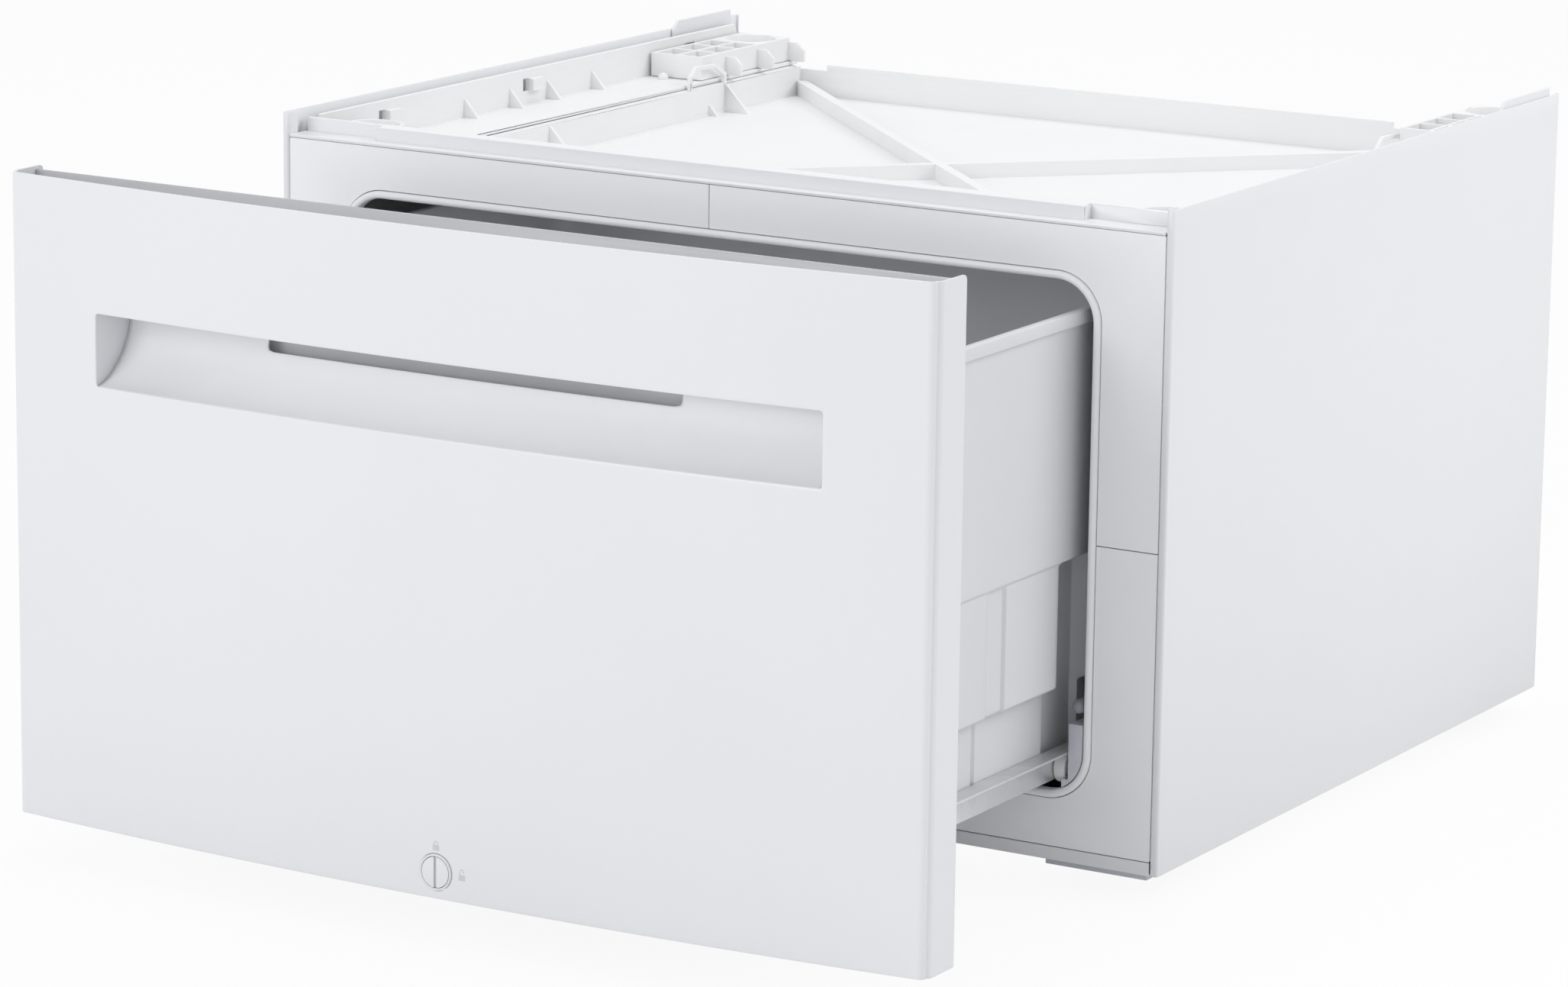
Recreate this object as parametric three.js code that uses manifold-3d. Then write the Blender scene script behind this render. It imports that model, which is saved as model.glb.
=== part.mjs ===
// A washer pedestal with a pull-out storage drawer, in millimetres, +Z up.
// While it is built, x runs to the right, y runs back from the front plane of the cabinet, and z runs
// up from the lower edge of the side panels. The last lines move it onto its own frame: the origin is
// under the middle of its box, at floor level. The drawer stands open, as a nested group, by restOpening.

import * as THREE from "three";
import { mergeVertices } from "three/addons/utils/BufferGeometryUtils.js";
import Module from "manifold-3d";

// ---------------------------------------------------------------- driving sizes
// A margin is measured inwards from the outer side of the cabinet, and a drop down from the upper edge
// of its side panels. A gap is the room that a piece leaves to the one it is placed by.

// Cabinet of folded sheet steel
const cabinetWidth = 598;
const cabinetDepth = 519.4;
const panelHeight = 379;
const sheet = 1.2;
const frontFold = 5;
const frontHem = 9;
const rearFold = 14;
const baseWall = 24;
const backPanelDrop = 34.5;
const bottomRailHeight = 7.6;
const bottomRailDepth = 14;
const topRailDrop = 5;
const topRailLedgeDrop = 12.9;
const topRailFoldDrop = 14.7;
const topRailDepth = 22;
const topRailRecess = 10;
const topRailEndRecess = 18;
const topRailStepMargin = 61;
const tabLength = 72;
const tabRise = 5;
const tabThickness = 2;
const tabHold = 60;
const tabRearMargin = 12;
const tabChamfer = 6;

// Plastic front frame: four corner quarters round a lighter rim
const fasciaThickness = 3;
const fasciaSetback = 0.6;
const fasciaSeam = 0.6;
const fasciaSeamHeight = 185;
const rimMargin = 44;
const rimBottom = 36;
const rimDrop = 41;
const rimRadius = 28;
const rimWidth = 4.5;
const rimProud = 1.5;
const rimDepth = 4;
const rimFlange = 8;
const rimFlangeThickness = 2;
const shadowGap = 1.2;

// Feet and corner pads
const cornerPadThickness = 4;
const cornerPadMargin = 8.3;
const cornerPadWidth = 64.7;
const cornerPadFront = 4;
const cornerPadLength = 91;
const footMargin = 63;
const footInset = 70;
const footPadRadius = 18;
const footPadThickness = 6;
const footHeight = 12;
const stemRadius = 4;
const stemReach = 32;
const nutRadius = 7.6;
const nutHeight = 4;

// Top tray, on which the washer stands
const trayFloorDrop = 48;
const trayWall = 2.5;
const trayMargin = 56;
const trayFrontGap = 2;
const trayRearGap = 5.4;
const traySideDrop = 29;
const trayBackDrop = 27;
const trayBackLowDrop = 31;
const trayBackStepLeft = 20;
const trayBackStepRight = 53;
const traySideLipWidth = 7.5;
const braceRise = 9.3;
const braceWidth = 7;
const trayGussetThickness = 2.5;
const trayGussetSize = 19.5;
const trayGussetPlaces = [181.5, 392.2];
const trayStubSize = 8;
const trayStubPlace = 372;
const archRearGap = 102.4;
const archLength = 45;
const archBand = 2.7;
const archDrop = 14;
const archRecess = 0.8;

// Side channels of the top, their gussets and clips, and the seats that take the washer's feet
const channelDrop = 25.7;
const channelWall = 2.5;
const channelGap = 1.5;
const channelTabGap = 3.5;
const channelWallDrop = 4;
const channelGussets = [180, 231, 274, 326];
const channelGussetSize = 13;
const clipPlaces = [88, 247];
const seatWindowPlace = 440;
const clipWidth = 12;
const clipHeight = 8;
const clipDrop = 10;
const clipReach = 4;
const domeRadius = 3.4;
const seatDrop = 10;
const seatSideGap = 2;
const rearSeatRearGap = 7;
const rearSeatLength = 112;
const seatFloor = 4;
const seatWall = 2.2;
const cellRows = 3;
const cellColumns = 2;
const cupWall = 2.5;
const seatWebReach = 12;
const seatWebHeight = 12.5;
const seatWebChamfer = 5;
const seatWebPlaces = [30, 70];
const frontSeatGap = 23.9;
const frontSeatRadius = 18.5;
const frontLugWidth = 12;
const frontLugReach = 5;
const frontLugHeight = 9;

// Drawer front: a bowed steel shell, a flat inner panel, and a moulded grip
const restOpening = 231;
const closedGap = 1;
const frontBottom = 7.6;
const frontDrop = 0.3;
const shellThickness = 1.5;
const flangeDepth = 29.7;
const bow = 15;
const shellEdgeRadius = 6;
const flangeCornerRadius = 12;
const innerPanelSetback = 15;
const innerPanelThickness = 1.5;
const innerPanelDrop = 1.7;
const gripMargin = 64;
const gripDrop = 73.5;
const gripHeight = 41.5;
const gripWall = 1.8;
const gripSlotHalfWidth = 134.5;
const gripSlotRise = 29.3;
const gripHook = 14;
const gripRearGap = 0.5;
const gripEndRadius = 2;

// Drawer tub
const tubFront = 3;
const tubLength = 446;
const tubWall = 2.5;
const tubTopGap = 16.5;
const tubSideGap = 7.5;
const bandProud = 1.5;
const tubStepRise = 52;
const tubStepHeight = 6;
const tubBandHeight = 142;
const beadHeight = 8;
const beadProud = 3;
const pocketPitch = 82;
const pocketWidth = 20;
const pocketFirst = 57;
const pocketDepth = 2;
const tallPocket = 2;
const tallPocketWidth = 40;
const tallPocketDepth = 4.5;
const tallPocketRise = 10;
const grooveWidth = 3.4;
const grooveDepth = 1.6;
const tubChamfer = 4;
const tubBossRadius = 7;
const tubBossInset = 46;
const tubBossHeights = [24, 174];

// Runners and rollers
const rollerRadius = 9.2;
const rollerWidth = 7.3;
const rollerBore = 3;
const rollerDish = 1.5;
const rollerTyre = 2.4;
const rollerRimGap = 3.6;
const axleClearance = 0.3;
const axleCollarRadius = 4.6;
const axleCollarWidth = 1.9;
const axleEnd = 1;
const railThickness = 1.5;
const railWebDrop = 18;
const frontRollerY = 9;
const rearRollerInset = 14;
const runnerThickness = 1.2;
const runnerWebGap = 7.5;
const runnerFootWidth = 19;
const runnerHook = 4;
const runnerRearGap = 16.7;
const bracketWidth = 9;
const bracketFront = -1;
const bracketDepth = 17;
const bracketHeight = 40;
const bracketToe = 4;
const bracketToeHeight = 7.6;
const bracketToeDepth = 1.5;
const bumperRadius = 4.2;
const bumperRise = 10;
const bumperLength = 17;

// Drawer lock
const lockHeight = 22.6;
const knobRadius = 8.75;
const knobThickness = 4.4;
const knobProud = 1;
const knobSlotWidth = 1.8;
const knobSlotDepth = 1.6;
const shaftRadius = 3.5;
const lockWall = 1.6;
const lockBodyRear = 8;
const camThickness = 2.5;
const camReach = 14;
const camWidth = 8;
const camHubRadius = 5.8;
const camDepthBehindFront = 7;
const camScrewRadius = 5;
const camScrewHead = 2.2;
const strikeHalfWidth = 32;
const strikeAbove = 7.9;
const strikeBelow = 13.6;

// Clearances, and how far a cut runs past what it cuts
const seat = 0.3;
const camSlotClearance = 2;
const runClearance = 0.5;
const past = 1;

// ---------------------------------------------------------------- worked-out sizes

const half = cabinetWidth / 2;
const panelInner = half - sheet;
const foldInner = half - frontFold - seat;
const floorDrop = footHeight + cornerPadThickness;
const baseSetback = bottomRailDepth + seat;
const backPanelTop = panelHeight - backPanelDrop;
const backPanelRear = cabinetDepth - sheet - seat;
const backPanelFront = backPanelRear - sheet;
const topRailTop = panelHeight - topRailDrop;
const topRailLedge = panelHeight - topRailLedgeDrop;
const topRailBottom = panelHeight - topRailFoldDrop;

const rimHalfWidth = half - rimMargin;
const rimTop = panelHeight - rimDrop;
const rimInnerX = rimHalfWidth - rimWidth;
const rimInnerBottom = rimBottom + rimWidth;

const trayFront = topRailDepth + trayFrontGap;
const trayRear = cabinetDepth - trayRearGap;
const trayFloorTop = panelHeight - trayFloorDrop;
const trayHalfWidth = half - trayMargin;
const trayOuterX = trayHalfWidth + trayWall;
const trayFrontTop = topRailLedge - sheet - seat;
const archRear = cabinetDepth - archRearGap;
const archFront = archRear - archLength;
const channelFloor = panelHeight - channelDrop;
const channelUnder = channelFloor - channelWall;
const channelInnerX = trayOuterX + channelGap;
const channelOuterX = panelInner - seat - tabThickness - channelTabGap;
const channelFront = trayFront + trayWall + seat;
const seatTop = panelHeight - seatDrop;
const seatBottom = channelFloor + seat;
const seatInnerX = channelInnerX + seatSideGap;
const seatOuterX = channelOuterX - channelWall - seatSideGap;
const seatMiddleX = (seatInnerX + seatOuterX) / 2;
const cupRadius = (seatOuterX - seatInnerX) / 2 - cupWall;
const rearSeatRear = trayRear - rearSeatRearGap;

const frontTop = panelHeight - frontDrop;
const innerPanelFront = -(closedGap + flangeDepth) + innerPanelSetback;
const innerPanelRear = innerPanelFront + innerPanelThickness;
const innerPanelTop = frontTop - innerPanelDrop;
const gripHalfWidth = half - gripMargin;
const gripTop = panelHeight - gripDrop;
const gripBottom = gripTop - gripHeight;
const gripBack = -tubFront - gripRearGap - gripWall - faceY(gripHalfWidth + gripWall);

const bracketInner = rimInnerX - bracketWidth;
const railFlangeOuter = bracketInner - runClearance;
const collarOuterEnd = bracketInner - seat;
const collarInnerEnd = collarOuterEnd - axleCollarWidth;
const rollerOuter = collarInnerEnd - axleClearance;
const rollerInner = rollerOuter - rollerWidth;
const railWebOuter = rollerInner - runClearance;
const rollerZ = rimInnerBottom + rollerRimGap + rollerRadius;
const railFlangeBottom = rollerZ + rollerRadius + seat;
const railTop = railFlangeBottom + railThickness;
const runnerWebX = bracketInner + runnerWebGap;
const bracketBottom = rimInnerBottom + runClearance;
const bumperHeight = bracketBottom + bracketHeight + bumperRise;

const tubLowHalfWidth = railWebOuter - railThickness - seat;
const tubHighHalfWidth = rimInnerX - tubSideGap - beadProud;
const tubMidHalfWidth = tubHighHalfWidth - bandProud;
const tubBottom = railTop - railWebDrop - seat;
const tubTop = rimTop - rimWidth - tubTopGap;
const tubStepBottom = tubBottom + tubStepRise;
const tubStepTop = tubStepBottom + tubStepHeight;
const tubBandBottom = tubTop - tubBandHeight;
const tubRear = tubLength - tubFront;
const rearRollerY = tubRear - rearRollerInset;

const knobFront = faceY(0) - knobProud;
const throughFront = [faceY(0) - past, innerPanelFront];
const camRear = camDepthBehindFront + camThickness;
const stemTop = stemReach - floorDrop;

// ---------------------------------------------------------------- building helpers

const wasm = await Module();
wasm.setup();

function solidOf(geometry) {
  const bare = geometry.clone();
  bare.deleteAttribute("normal");
  bare.deleteAttribute("uv");
  const merged = mergeVertices(bare, 1e-4);
  return new wasm.Manifold(
    new wasm.Mesh({
      numProp: 3,
      vertProperties: new Float32Array(merged.attributes.position.array),
      triVerts: new Uint32Array(merged.index.array),
    }),
  );
}

function geometryOf(body) {
  const mesh = body.getMesh();
  const geometry = new THREE.BufferGeometry();
  geometry.setAttribute("position", new THREE.BufferAttribute(mesh.vertProperties, 3));
  geometry.setIndex(new THREE.BufferAttribute(mesh.triVerts, 1));
  geometry.computeVertexNormals();
  return geometry;
}

const add = (first, ...others) => others.reduce((sum, other) => sum.add(other), first);
const cut = (first, ...others) => others.reduce((rest, other) => rest.subtract(other), first);

// A block from one corner to the other, with the ends of each span in any order.
function block(xs, ys, zs) {
  const size = [xs, ys, zs].map(([a, b]) => Math.abs(b - a));
  const middle = [xs, ys, zs].map(([a, b]) => (a + b) / 2);
  return solidOf(new THREE.BoxGeometry(...size).translate(...middle));
}

// A shape drawn in (x, y) and raised along z.
function prismZ(shape, z0, z1) {
  const depth = Math.abs(z1 - z0);
  const body = new THREE.ExtrudeGeometry(shape, { depth, bevelEnabled: false, curveSegments: 6 });
  return solidOf(body.translate(0, 0, Math.min(z0, z1)));
}

// A shape drawn in (x, z) and drawn out along y.
function prismY(shape, y0, y1) {
  const depth = Math.abs(y1 - y0);
  const body = new THREE.ExtrudeGeometry(shape, { depth, bevelEnabled: false, curveSegments: 6 });
  return solidOf(body.rotateX(Math.PI / 2).translate(0, Math.max(y0, y1), 0));
}

// A shape drawn in (y, z) and drawn out along x.
function prismX(shape, x0, x1) {
  const depth = Math.abs(x1 - x0);
  const body = new THREE.ExtrudeGeometry(shape, { depth, bevelEnabled: false, curveSegments: 6 });
  const turn = new THREE.Matrix4().makeBasis(
    new THREE.Vector3(0, 1, 0),
    new THREE.Vector3(0, 0, 1),
    new THREE.Vector3(1, 0, 0),
  );
  return solidOf(body.applyMatrix4(turn).translate(Math.min(x0, x1), 0, 0));
}

const polygon = (points) => new THREE.Shape(points.map(([u, v]) => new THREE.Vector2(u, v)));

function roundedRect(u0, u1, v0, v1, radius) {
  const shape = new THREE.Shape();
  shape.absarc(u1 - radius, v1 - radius, radius, 0, Math.PI / 2);
  shape.absarc(u0 + radius, v1 - radius, radius, Math.PI / 2, Math.PI);
  shape.absarc(u0 + radius, v0 + radius, radius, Math.PI, 1.5 * Math.PI);
  shape.absarc(u1 - radius, v0 + radius, radius, 1.5 * Math.PI, 2 * Math.PI);
  return shape;
}

function rod(radius, length, sides) {
  return new THREE.CylinderGeometry(radius, radius, length, sides);
}

function rodX(radius, [x0, x1], y, z, sides = 20) {
  const body = rod(radius, Math.abs(x1 - x0), sides).rotateZ(Math.PI / 2);
  return solidOf(body.translate((x0 + x1) / 2, y, z));
}

function rodY(radius, [y0, y1], x, z, sides = 20) {
  return solidOf(rod(radius, Math.abs(y1 - y0), sides).translate(x, (y0 + y1) / 2, z));
}

function rodZ(radius, [z0, z1], x, y, sides = 20) {
  const body = rod(radius, Math.abs(z1 - z0), sides).rotateX(Math.PI / 2);
  return solidOf(body.translate(x, y, (z0 + z1) / 2));
}

// A closed skin through cross-sections with the same number of points, capped at both ends.
function loft(sections) {
  const count = sections[0].length;
  const points = sections.flat();
  const faces = [];
  for (let ring = 0; ring + 1 < sections.length; ring += 1) {
    for (let k = 0; k < count; k += 1) {
      const a = ring * count + k;
      const b = ring * count + ((k + 1) % count);
      faces.push(a, b, b + count, a, b + count, a + count);
    }
  }
  const outline = sections[0].map((p) => new THREE.Vector2(p[1], p[2]));
  const last = (sections.length - 1) * count;
  for (const [a, b, c] of THREE.ShapeUtils.triangulateShape(outline, [])) {
    faces.push(a, c, b);
    faces.push(last + a, last + b, last + c);
  }
  const geometry = new THREE.BufferGeometry();
  geometry.setAttribute("position", new THREE.Float32BufferAttribute(points.flat(), 3));
  geometry.setIndex(faces);
  return solidOf(geometry);
}

// ---------------------------------------------------------------- materials

function finish(color, roughness, metalness) {
  return new THREE.MeshStandardMaterial({ color, roughness, metalness });
}

const paintedSteel = finish(0xe6e8ec, 0.38, 0.1);
const frontPaint = finish(0xe7e9ed, 0.32, 0.1);
const frameplastic = finish(0xdfe1e6, 0.45, 0);
const trayPlastic = finish(0xf1f2f3, 0.5, 0);
const tubPlastic = finish(0xdcdee1, 0.45, 0);
const innerSteel = finish(0x8f9193, 0.5, 0.3);
const zincSteel = finish(0xc3c6c8, 0.35, 0.9);
const rollerPlastic = finish(0xd6d8da, 0.4, 0);
const softRubber = finish(0x8b8e92, 0.8, 0);
const padPlastic = finish(0xc9ccd2, 0.6, 0);

const cabinet = new THREE.Group();
const drawer = new THREE.Group();
drawer.position.y = -restOpening;
cabinet.add(drawer);

function piece(parent, name, body, material) {
  const mesh = new THREE.Mesh(geometryOf(body), material);
  mesh.name = name;
  parent.add(mesh);
}

const sides = [
  ["left", -1],
  ["right", 1],
];

// ---------------------------------------------------------------- cabinet sheet steel

// Side panel: a plain outer sheet with a hem at the front and a fold at the rear, seen from above.
function sidePanel(s) {
  const outline = [
    [half, 0],
    [half, cabinetDepth],
    [half - rearFold, cabinetDepth],
    [half - rearFold, cabinetDepth - sheet],
    [panelInner, cabinetDepth - sheet],
    [panelInner, sheet],
    [half - frontFold + sheet, sheet],
    [half - frontFold + sheet, frontHem],
    [half - frontFold, frontHem],
    [half - frontFold, 0],
  ];
  return prismZ(polygon(outline.map(([x, y]) => [s * x, y])), 0, panelHeight);
}

// Upstand tab: a steel ear inside the rear end of the side panel that rises just above it.
function upstandTab(s) {
  const rear = cabinetDepth - tabRearMargin;
  const front = rear - tabLength;
  const top = panelHeight + tabRise;
  const outline = [
    [front, panelHeight - tabHold],
    [rear, panelHeight - tabHold],
    [rear, top],
    [front + tabChamfer, top],
    [front, top - tabChamfer],
  ];
  const outer = panelInner - seat;
  return prismX(polygon(outline), s * (outer - tabThickness), s * outer);
}

// Base pan: a shallow open box of sheet with round holes for the foot screws.
function basePan() {
  const wide = panelInner - seat;
  const rear = backPanelFront - seat;
  const outer = block([-wide, wide], [baseSetback, rear], [0, baseWall]);
  const inner = block(
    [-wide + sheet, wide - sheet],
    [baseSetback + sheet, rear - sheet],
    [sheet, baseWall + past],
  );
  const holes = footPlaces().map(([x, y]) => rodZ(stemRadius + seat, [-past, sheet + past], x, y));
  return cut(outer, inner, ...holes);
}

function footPlaces() {
  const ys = [footInset, cabinetDepth - footInset];
  return sides.flatMap(([, s]) => ys.map((y) => [s * (half - footMargin), y]));
}

for (const [side, s] of sides) {
  piece(cabinet, `side_panel_${side}`, sidePanel(s), paintedSteel);
  piece(cabinet, `rear_upstand_tab_${side}`, upstandTab(s), paintedSteel);
}
piece(cabinet, "base_pan", basePan(), zincSteel);

const backWide = panelInner - seat;
const backPanel = block([-backWide, backWide], [backPanelFront, backPanelRear], [0, backPanelTop]);
piece(cabinet, "back_panel", backPanel, paintedSteel);

// Bottom rail: an angle whose upright is the thin strip under the plastic front frame.
const bottomRail = [
  [0, 0],
  [bottomRailDepth, 0],
  [bottomRailDepth, sheet],
  [sheet, sheet],
  [sheet, bottomRailHeight],
  [0, bottomRailHeight],
];
piece(cabinet, "front_bottom_rail", prismX(polygon(bottomRail), -foldInner, foldInner), paintedSteel);

// Top rail: a ledge over the plastic front frame, with a narrow fold down its front edge, then an upright
// set back behind it that carries a narrow flange. Near both ends the upright stands further back.
function topRail() {
  const xs = [-foldInner, foldInner];
  const step = half - topRailStepMargin;
  const flangeZs = [topRailTop - sheet, topRailTop];
  const uprightZs = [topRailLedge - sheet, topRailTop];
  const ledge = block(xs, [0, topRailDepth], [topRailLedge - sheet, topRailLedge]);
  const fold = block(xs, [0, sheet], [topRailBottom, topRailLedge]);
  const middle = [
    block([-step, step], [topRailRecess, topRailRecess + sheet], uprightZs),
    block([-step, step], [topRailRecess, topRailDepth], flangeZs),
  ];
  const ends = sides.flatMap(([, s]) => [
    block([s * step, s * foldInner], [topRailEndRecess, topRailEndRecess + sheet], uprightZs),
    block([s * step, s * foldInner], [topRailEndRecess, topRailDepth], flangeZs),
    block([s * (step - sheet), s * step], [topRailRecess, topRailEndRecess + sheet], uprightZs),
  ]);
  return add(ledge, fold, ...middle, ...ends);
}
piece(cabinet, "front_top_rail", topRail(), paintedSteel);

// ---------------------------------------------------------------- plastic front frame and rim

const lockSlot = {
  left: -(camReach + camSlotClearance),
  right: camWidth / 2 + camSlotClearance,
  bottom: lockHeight - camWidth / 2 - camSlotClearance,
  top: lockHeight + camWidth / 2 + camSlotClearance,
};

function lockOpening(y0, y1) {
  return block([lockSlot.left, lockSlot.right], [y0, y1], [lockSlot.bottom, lockSlot.top]);
}

// One L-shaped quarter of the front frame, cut out of the full plate.
function fasciaQuarter(s, up) {
  const bottom = bottomRailHeight + seat;
  const top = topRailBottom - seat;
  const rear = fasciaSetback + fasciaThickness;
  const xs = [(s * fasciaSeam) / 2, s * foldInner];
  const zs = up
    ? [fasciaSeamHeight + fasciaSeam / 2, top]
    : [bottom, fasciaSeamHeight - fasciaSeam / 2];
  const opening = rimOutline(shadowGap);
  const plate = block(xs, [fasciaSetback, rear], zs);
  return cut(plate, prismY(opening, -past, rear + past), lockOpening(-past, rear + past));
}

for (const [side, s] of sides) {
  piece(cabinet, `front_frame_upper_${side}`, fasciaQuarter(s, true), frameplastic);
  piece(cabinet, `front_frame_lower_${side}`, fasciaQuarter(s, false), frameplastic);
}

function rimOutline(grow) {
  return roundedRect(
    -rimHalfWidth - grow,
    rimHalfWidth + grow,
    rimBottom - grow,
    rimTop + grow,
    rimRadius + grow,
  );
}

// Rim: a rounded ring round the drawer's mouth, with a flange that lies behind the front frame.
function openingRim() {
  const flangeFront = fasciaSetback + fasciaThickness + seat;
  const flangeRear = flangeFront + rimFlangeThickness;
  const ring = prismY(rimOutline(0), -rimProud, rimDepth);
  const flange = prismY(rimOutline(rimFlange - rimWidth), flangeFront, flangeRear);
  const mouth = prismY(rimOutline(-rimWidth), -rimProud - past, flangeRear + past);
  const strikeRoom = block(
    [-strikeHalfWidth - seat, strikeHalfWidth + seat],
    [rimDepth, flangeRear + past],
    [0, lockHeight + strikeAbove + rimWidth],
  );
  return cut(add(ring, flange), mouth, strikeRoom);
}
piece(cabinet, "opening_rim", openingRim(), frameplastic);

// Strike plate: steel behind the frame, with the slot that the lock's cam passes before it turns.
const strikeFront = fasciaSetback + fasciaThickness + seat;
const strike = cut(
  block(
    [-strikeHalfWidth, strikeHalfWidth],
    [strikeFront, strikeFront + railThickness],
    [lockHeight - strikeBelow, lockHeight + strikeAbove],
  ),
  lockOpening(0, camDepthBehindFront),
);
piece(cabinet, "lock_strike_plate", strike, zincSteel);

// ---------------------------------------------------------------- top tray

// Centre tray: a floor with four walls, lips that rest on its neighbours, braces and arches.
function trayCentre() {
  const floorBottom = trayFloorTop - trayWall;
  const backTop = panelHeight - trayBackDrop;
  const backWallFront = trayRear - trayWall;
  const outer = block(
    [-trayOuterX, trayOuterX],
    [trayFront, trayRear],
    [floorBottom, panelHeight - traySideDrop],
  );
  const inner = block(
    [-trayHalfWidth, trayHalfWidth],
    [trayFront + trayWall, backWallFront],
    [trayFloorTop, backTop + past],
  );
  const lowEnds = [
    [-trayOuterX - past, trayBackStepLeft - trayHalfWidth],
    [trayHalfWidth - trayBackStepRight, trayOuterX + past],
  ];
  const backStep = block([lowEnds[0][1], lowEnds[1][0]], [backWallFront, trayRear], [floorBottom, backTop]);
  const backLow = panelHeight - trayBackLowDrop;
  const backCuts = lowEnds.map((xs) => block(xs, [backWallFront, trayRear + past], [backLow, backTop]));
  const frontLip = block(
    [-trayOuterX, trayOuterX],
    [topRailRecess, trayFront + trayWall],
    [trayFrontTop - trayWall, trayFrontTop],
  );
  const frontWall = block(
    [-trayOuterX, trayOuterX],
    [trayFront, trayFront + trayWall],
    [floorBottom, trayFrontTop],
  );
  const rearLip = block(
    [-trayOuterX, trayOuterX],
    [backWallFront, backPanelRear],
    [backPanelTop + seat, backPanelTop + seat + trayWall],
  );
  const pieces = [backStep, frontLip, frontWall, rearLip];
  const cuts = [...backCuts, ...sides.map(([, s]) => archPanel(s))];
  const lips = sides.map(([, s]) => traySideLip(s));
  const arches = sides.map(([, s]) => trayArch(s));
  return add(cut(add(cut(outer, inner), ...trayBraces(), ...pieces), ...cuts), ...trayGussets(), ...lips, ...arches);
}

function traySideLip(s) {
  const top = channelUnder - seat;
  return block(
    [s * (trayHalfWidth + trayWall / 2), s * (trayOuterX + traySideLipWidth)],
    [trayFront, trayRear - 2 * trayWall],
    [top - trayWall, top],
  );
}

// Two flat-topped ribs from corner to corner of the tray.
function trayBraces() {
  const y0 = trayFront + trayWall / 2;
  const y1 = trayRear - trayWall / 2;
  const x = trayHalfWidth + trayWall / 2;
  const width = (braceWidth / 2) * Math.hypot(1, (2 * x) / (y1 - y0));
  return sides.map(([, s]) => {
    const outline = [
      [-s * (x - width), y0],
      [-s * x, y0],
      [-s * x, y0 + width],
      [s * (x - width), y1],
      [s * x, y1],
      [s * x, y1 - width],
    ];
    return prismZ(polygon(outline), trayFloorTop - trayWall, trayFloorTop + braceRise);
  });
}

// Triangular webs that stiffen the tray's side walls.
function trayGussets() {
  const webs = [...trayGussetPlaces.map((y) => [y, trayGussetSize]), [trayStubPlace, trayStubSize]];
  return sides.flatMap(([, s]) =>
    webs.map(([y, size]) => {
      const x = trayHalfWidth + trayWall / 2;
      const outline = [
        [s * x, trayFloorTop - past],
        [s * (x - size), trayFloorTop - past],
        [s * x, trayFloorTop + size],
      ];
      return prismY(polygon(outline), trayFront + y, trayFront + y + trayGussetThickness);
    }),
  );
}

// A cornered arch that stands on the side wall, open beneath, where a transit strap is passed through.
function trayArch(s) {
  const top = panelHeight - archDrop;
  const foot = panelHeight - traySideDrop - past;
  const outline = (band, reach) => [
    [archFront + band, foot - reach],
    [archFront + band, top - 6 - band / 2],
    [archFront + 8 + band / 3, top - band],
    [archRear - 13 - band / 4, top - 1 - band],
    [archRear - band, top - 8 - 0.6 * band],
    [archRear - band, foot - reach],
  ];
  return cut(
    prismX(polygon(outline(0, 0)), s * trayHalfWidth, s * trayOuterX),
    prismX(polygon(outline(archBand, past)), s * (trayHalfWidth - past), s * (trayOuterX + past)),
  );
}

// The side wall is a little thinner beneath the arch.
function archPanel(s) {
  return block(
    [s * (trayHalfWidth - past), s * (trayHalfWidth + archRecess)],
    [archFront + 8, archRear - 2],
    [trayFloorTop + past, panelHeight - traySideDrop + past],
  );
}
piece(cabinet, "top_tray", trayCentre(), trayPlastic);

// Side channel: a floor with an outer wall, small gussets and clips, and a lip that reaches the panel.
function sideChannel(s) {
  const top = panelHeight - channelWallDrop;
  const wallInner = channelOuterX - channelWall;
  const wallXs = [s * wallInner, s * channelOuterX];
  const floor = block(
    [s * channelInnerX, s * channelOuterX],
    [channelFront, trayRear],
    [channelUnder, channelFloor],
  );
  const wall = block(wallXs, [channelFront, trayRear], [channelUnder, top]);
  const lip = block(
    [s * wallInner, s * (panelInner - 2 * seat - tabThickness)],
    [channelFront, trayRear],
    [channelUnder, channelFloor],
  );
  const front = block(
    [s * channelInnerX, s * channelOuterX],
    [topRailDepth + seat, channelFront + seat],
    [channelUnder, seatTop],
  );
  const gussets = channelGussets.map((y) => {
    const x = channelOuterX - channelWall / 2;
    const outline = [
      [s * x, channelFloor - past],
      [s * (x - channelGussetSize), channelFloor - past],
      [s * x, channelFloor + channelGussetSize],
    ];
    return prismY(polygon(outline), y, y + channelWall);
  });
  const clipTop = panelHeight - clipDrop;
  const clipZs = [clipTop - clipHeight, clipTop];
  const windowXs = [s * (wallInner - past), s * (channelOuterX + past)];
  const windowPlaces = [...clipPlaces, seatWindowPlace];
  const windows = windowPlaces.map((y) => block(windowXs, [y, y + clipWidth], clipZs));
  const clipXs = [s * (wallInner - clipReach), s * channelOuterX];
  const clips = clipPlaces.map((y) => block(clipXs, [y + clipWidth / 2, y + clipWidth * 1.5], clipZs));
  return add(cut(add(floor, wall, lip, front, ...gussets), ...windows), ...clips, channelDome(s));
}

// A small round-topped stud on the channel floor, just ahead of the rear seat.
function channelDome(s) {
  const x = s * (seatMiddleX + cupRadius / 3);
  const y = rearSeatRear - rearSeatLength - 2 * domeRadius;
  const cap = new THREE.SphereGeometry(domeRadius, 14, 7).translate(x, y, channelFloor + 1);
  return solidOf(cap);
}

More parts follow.
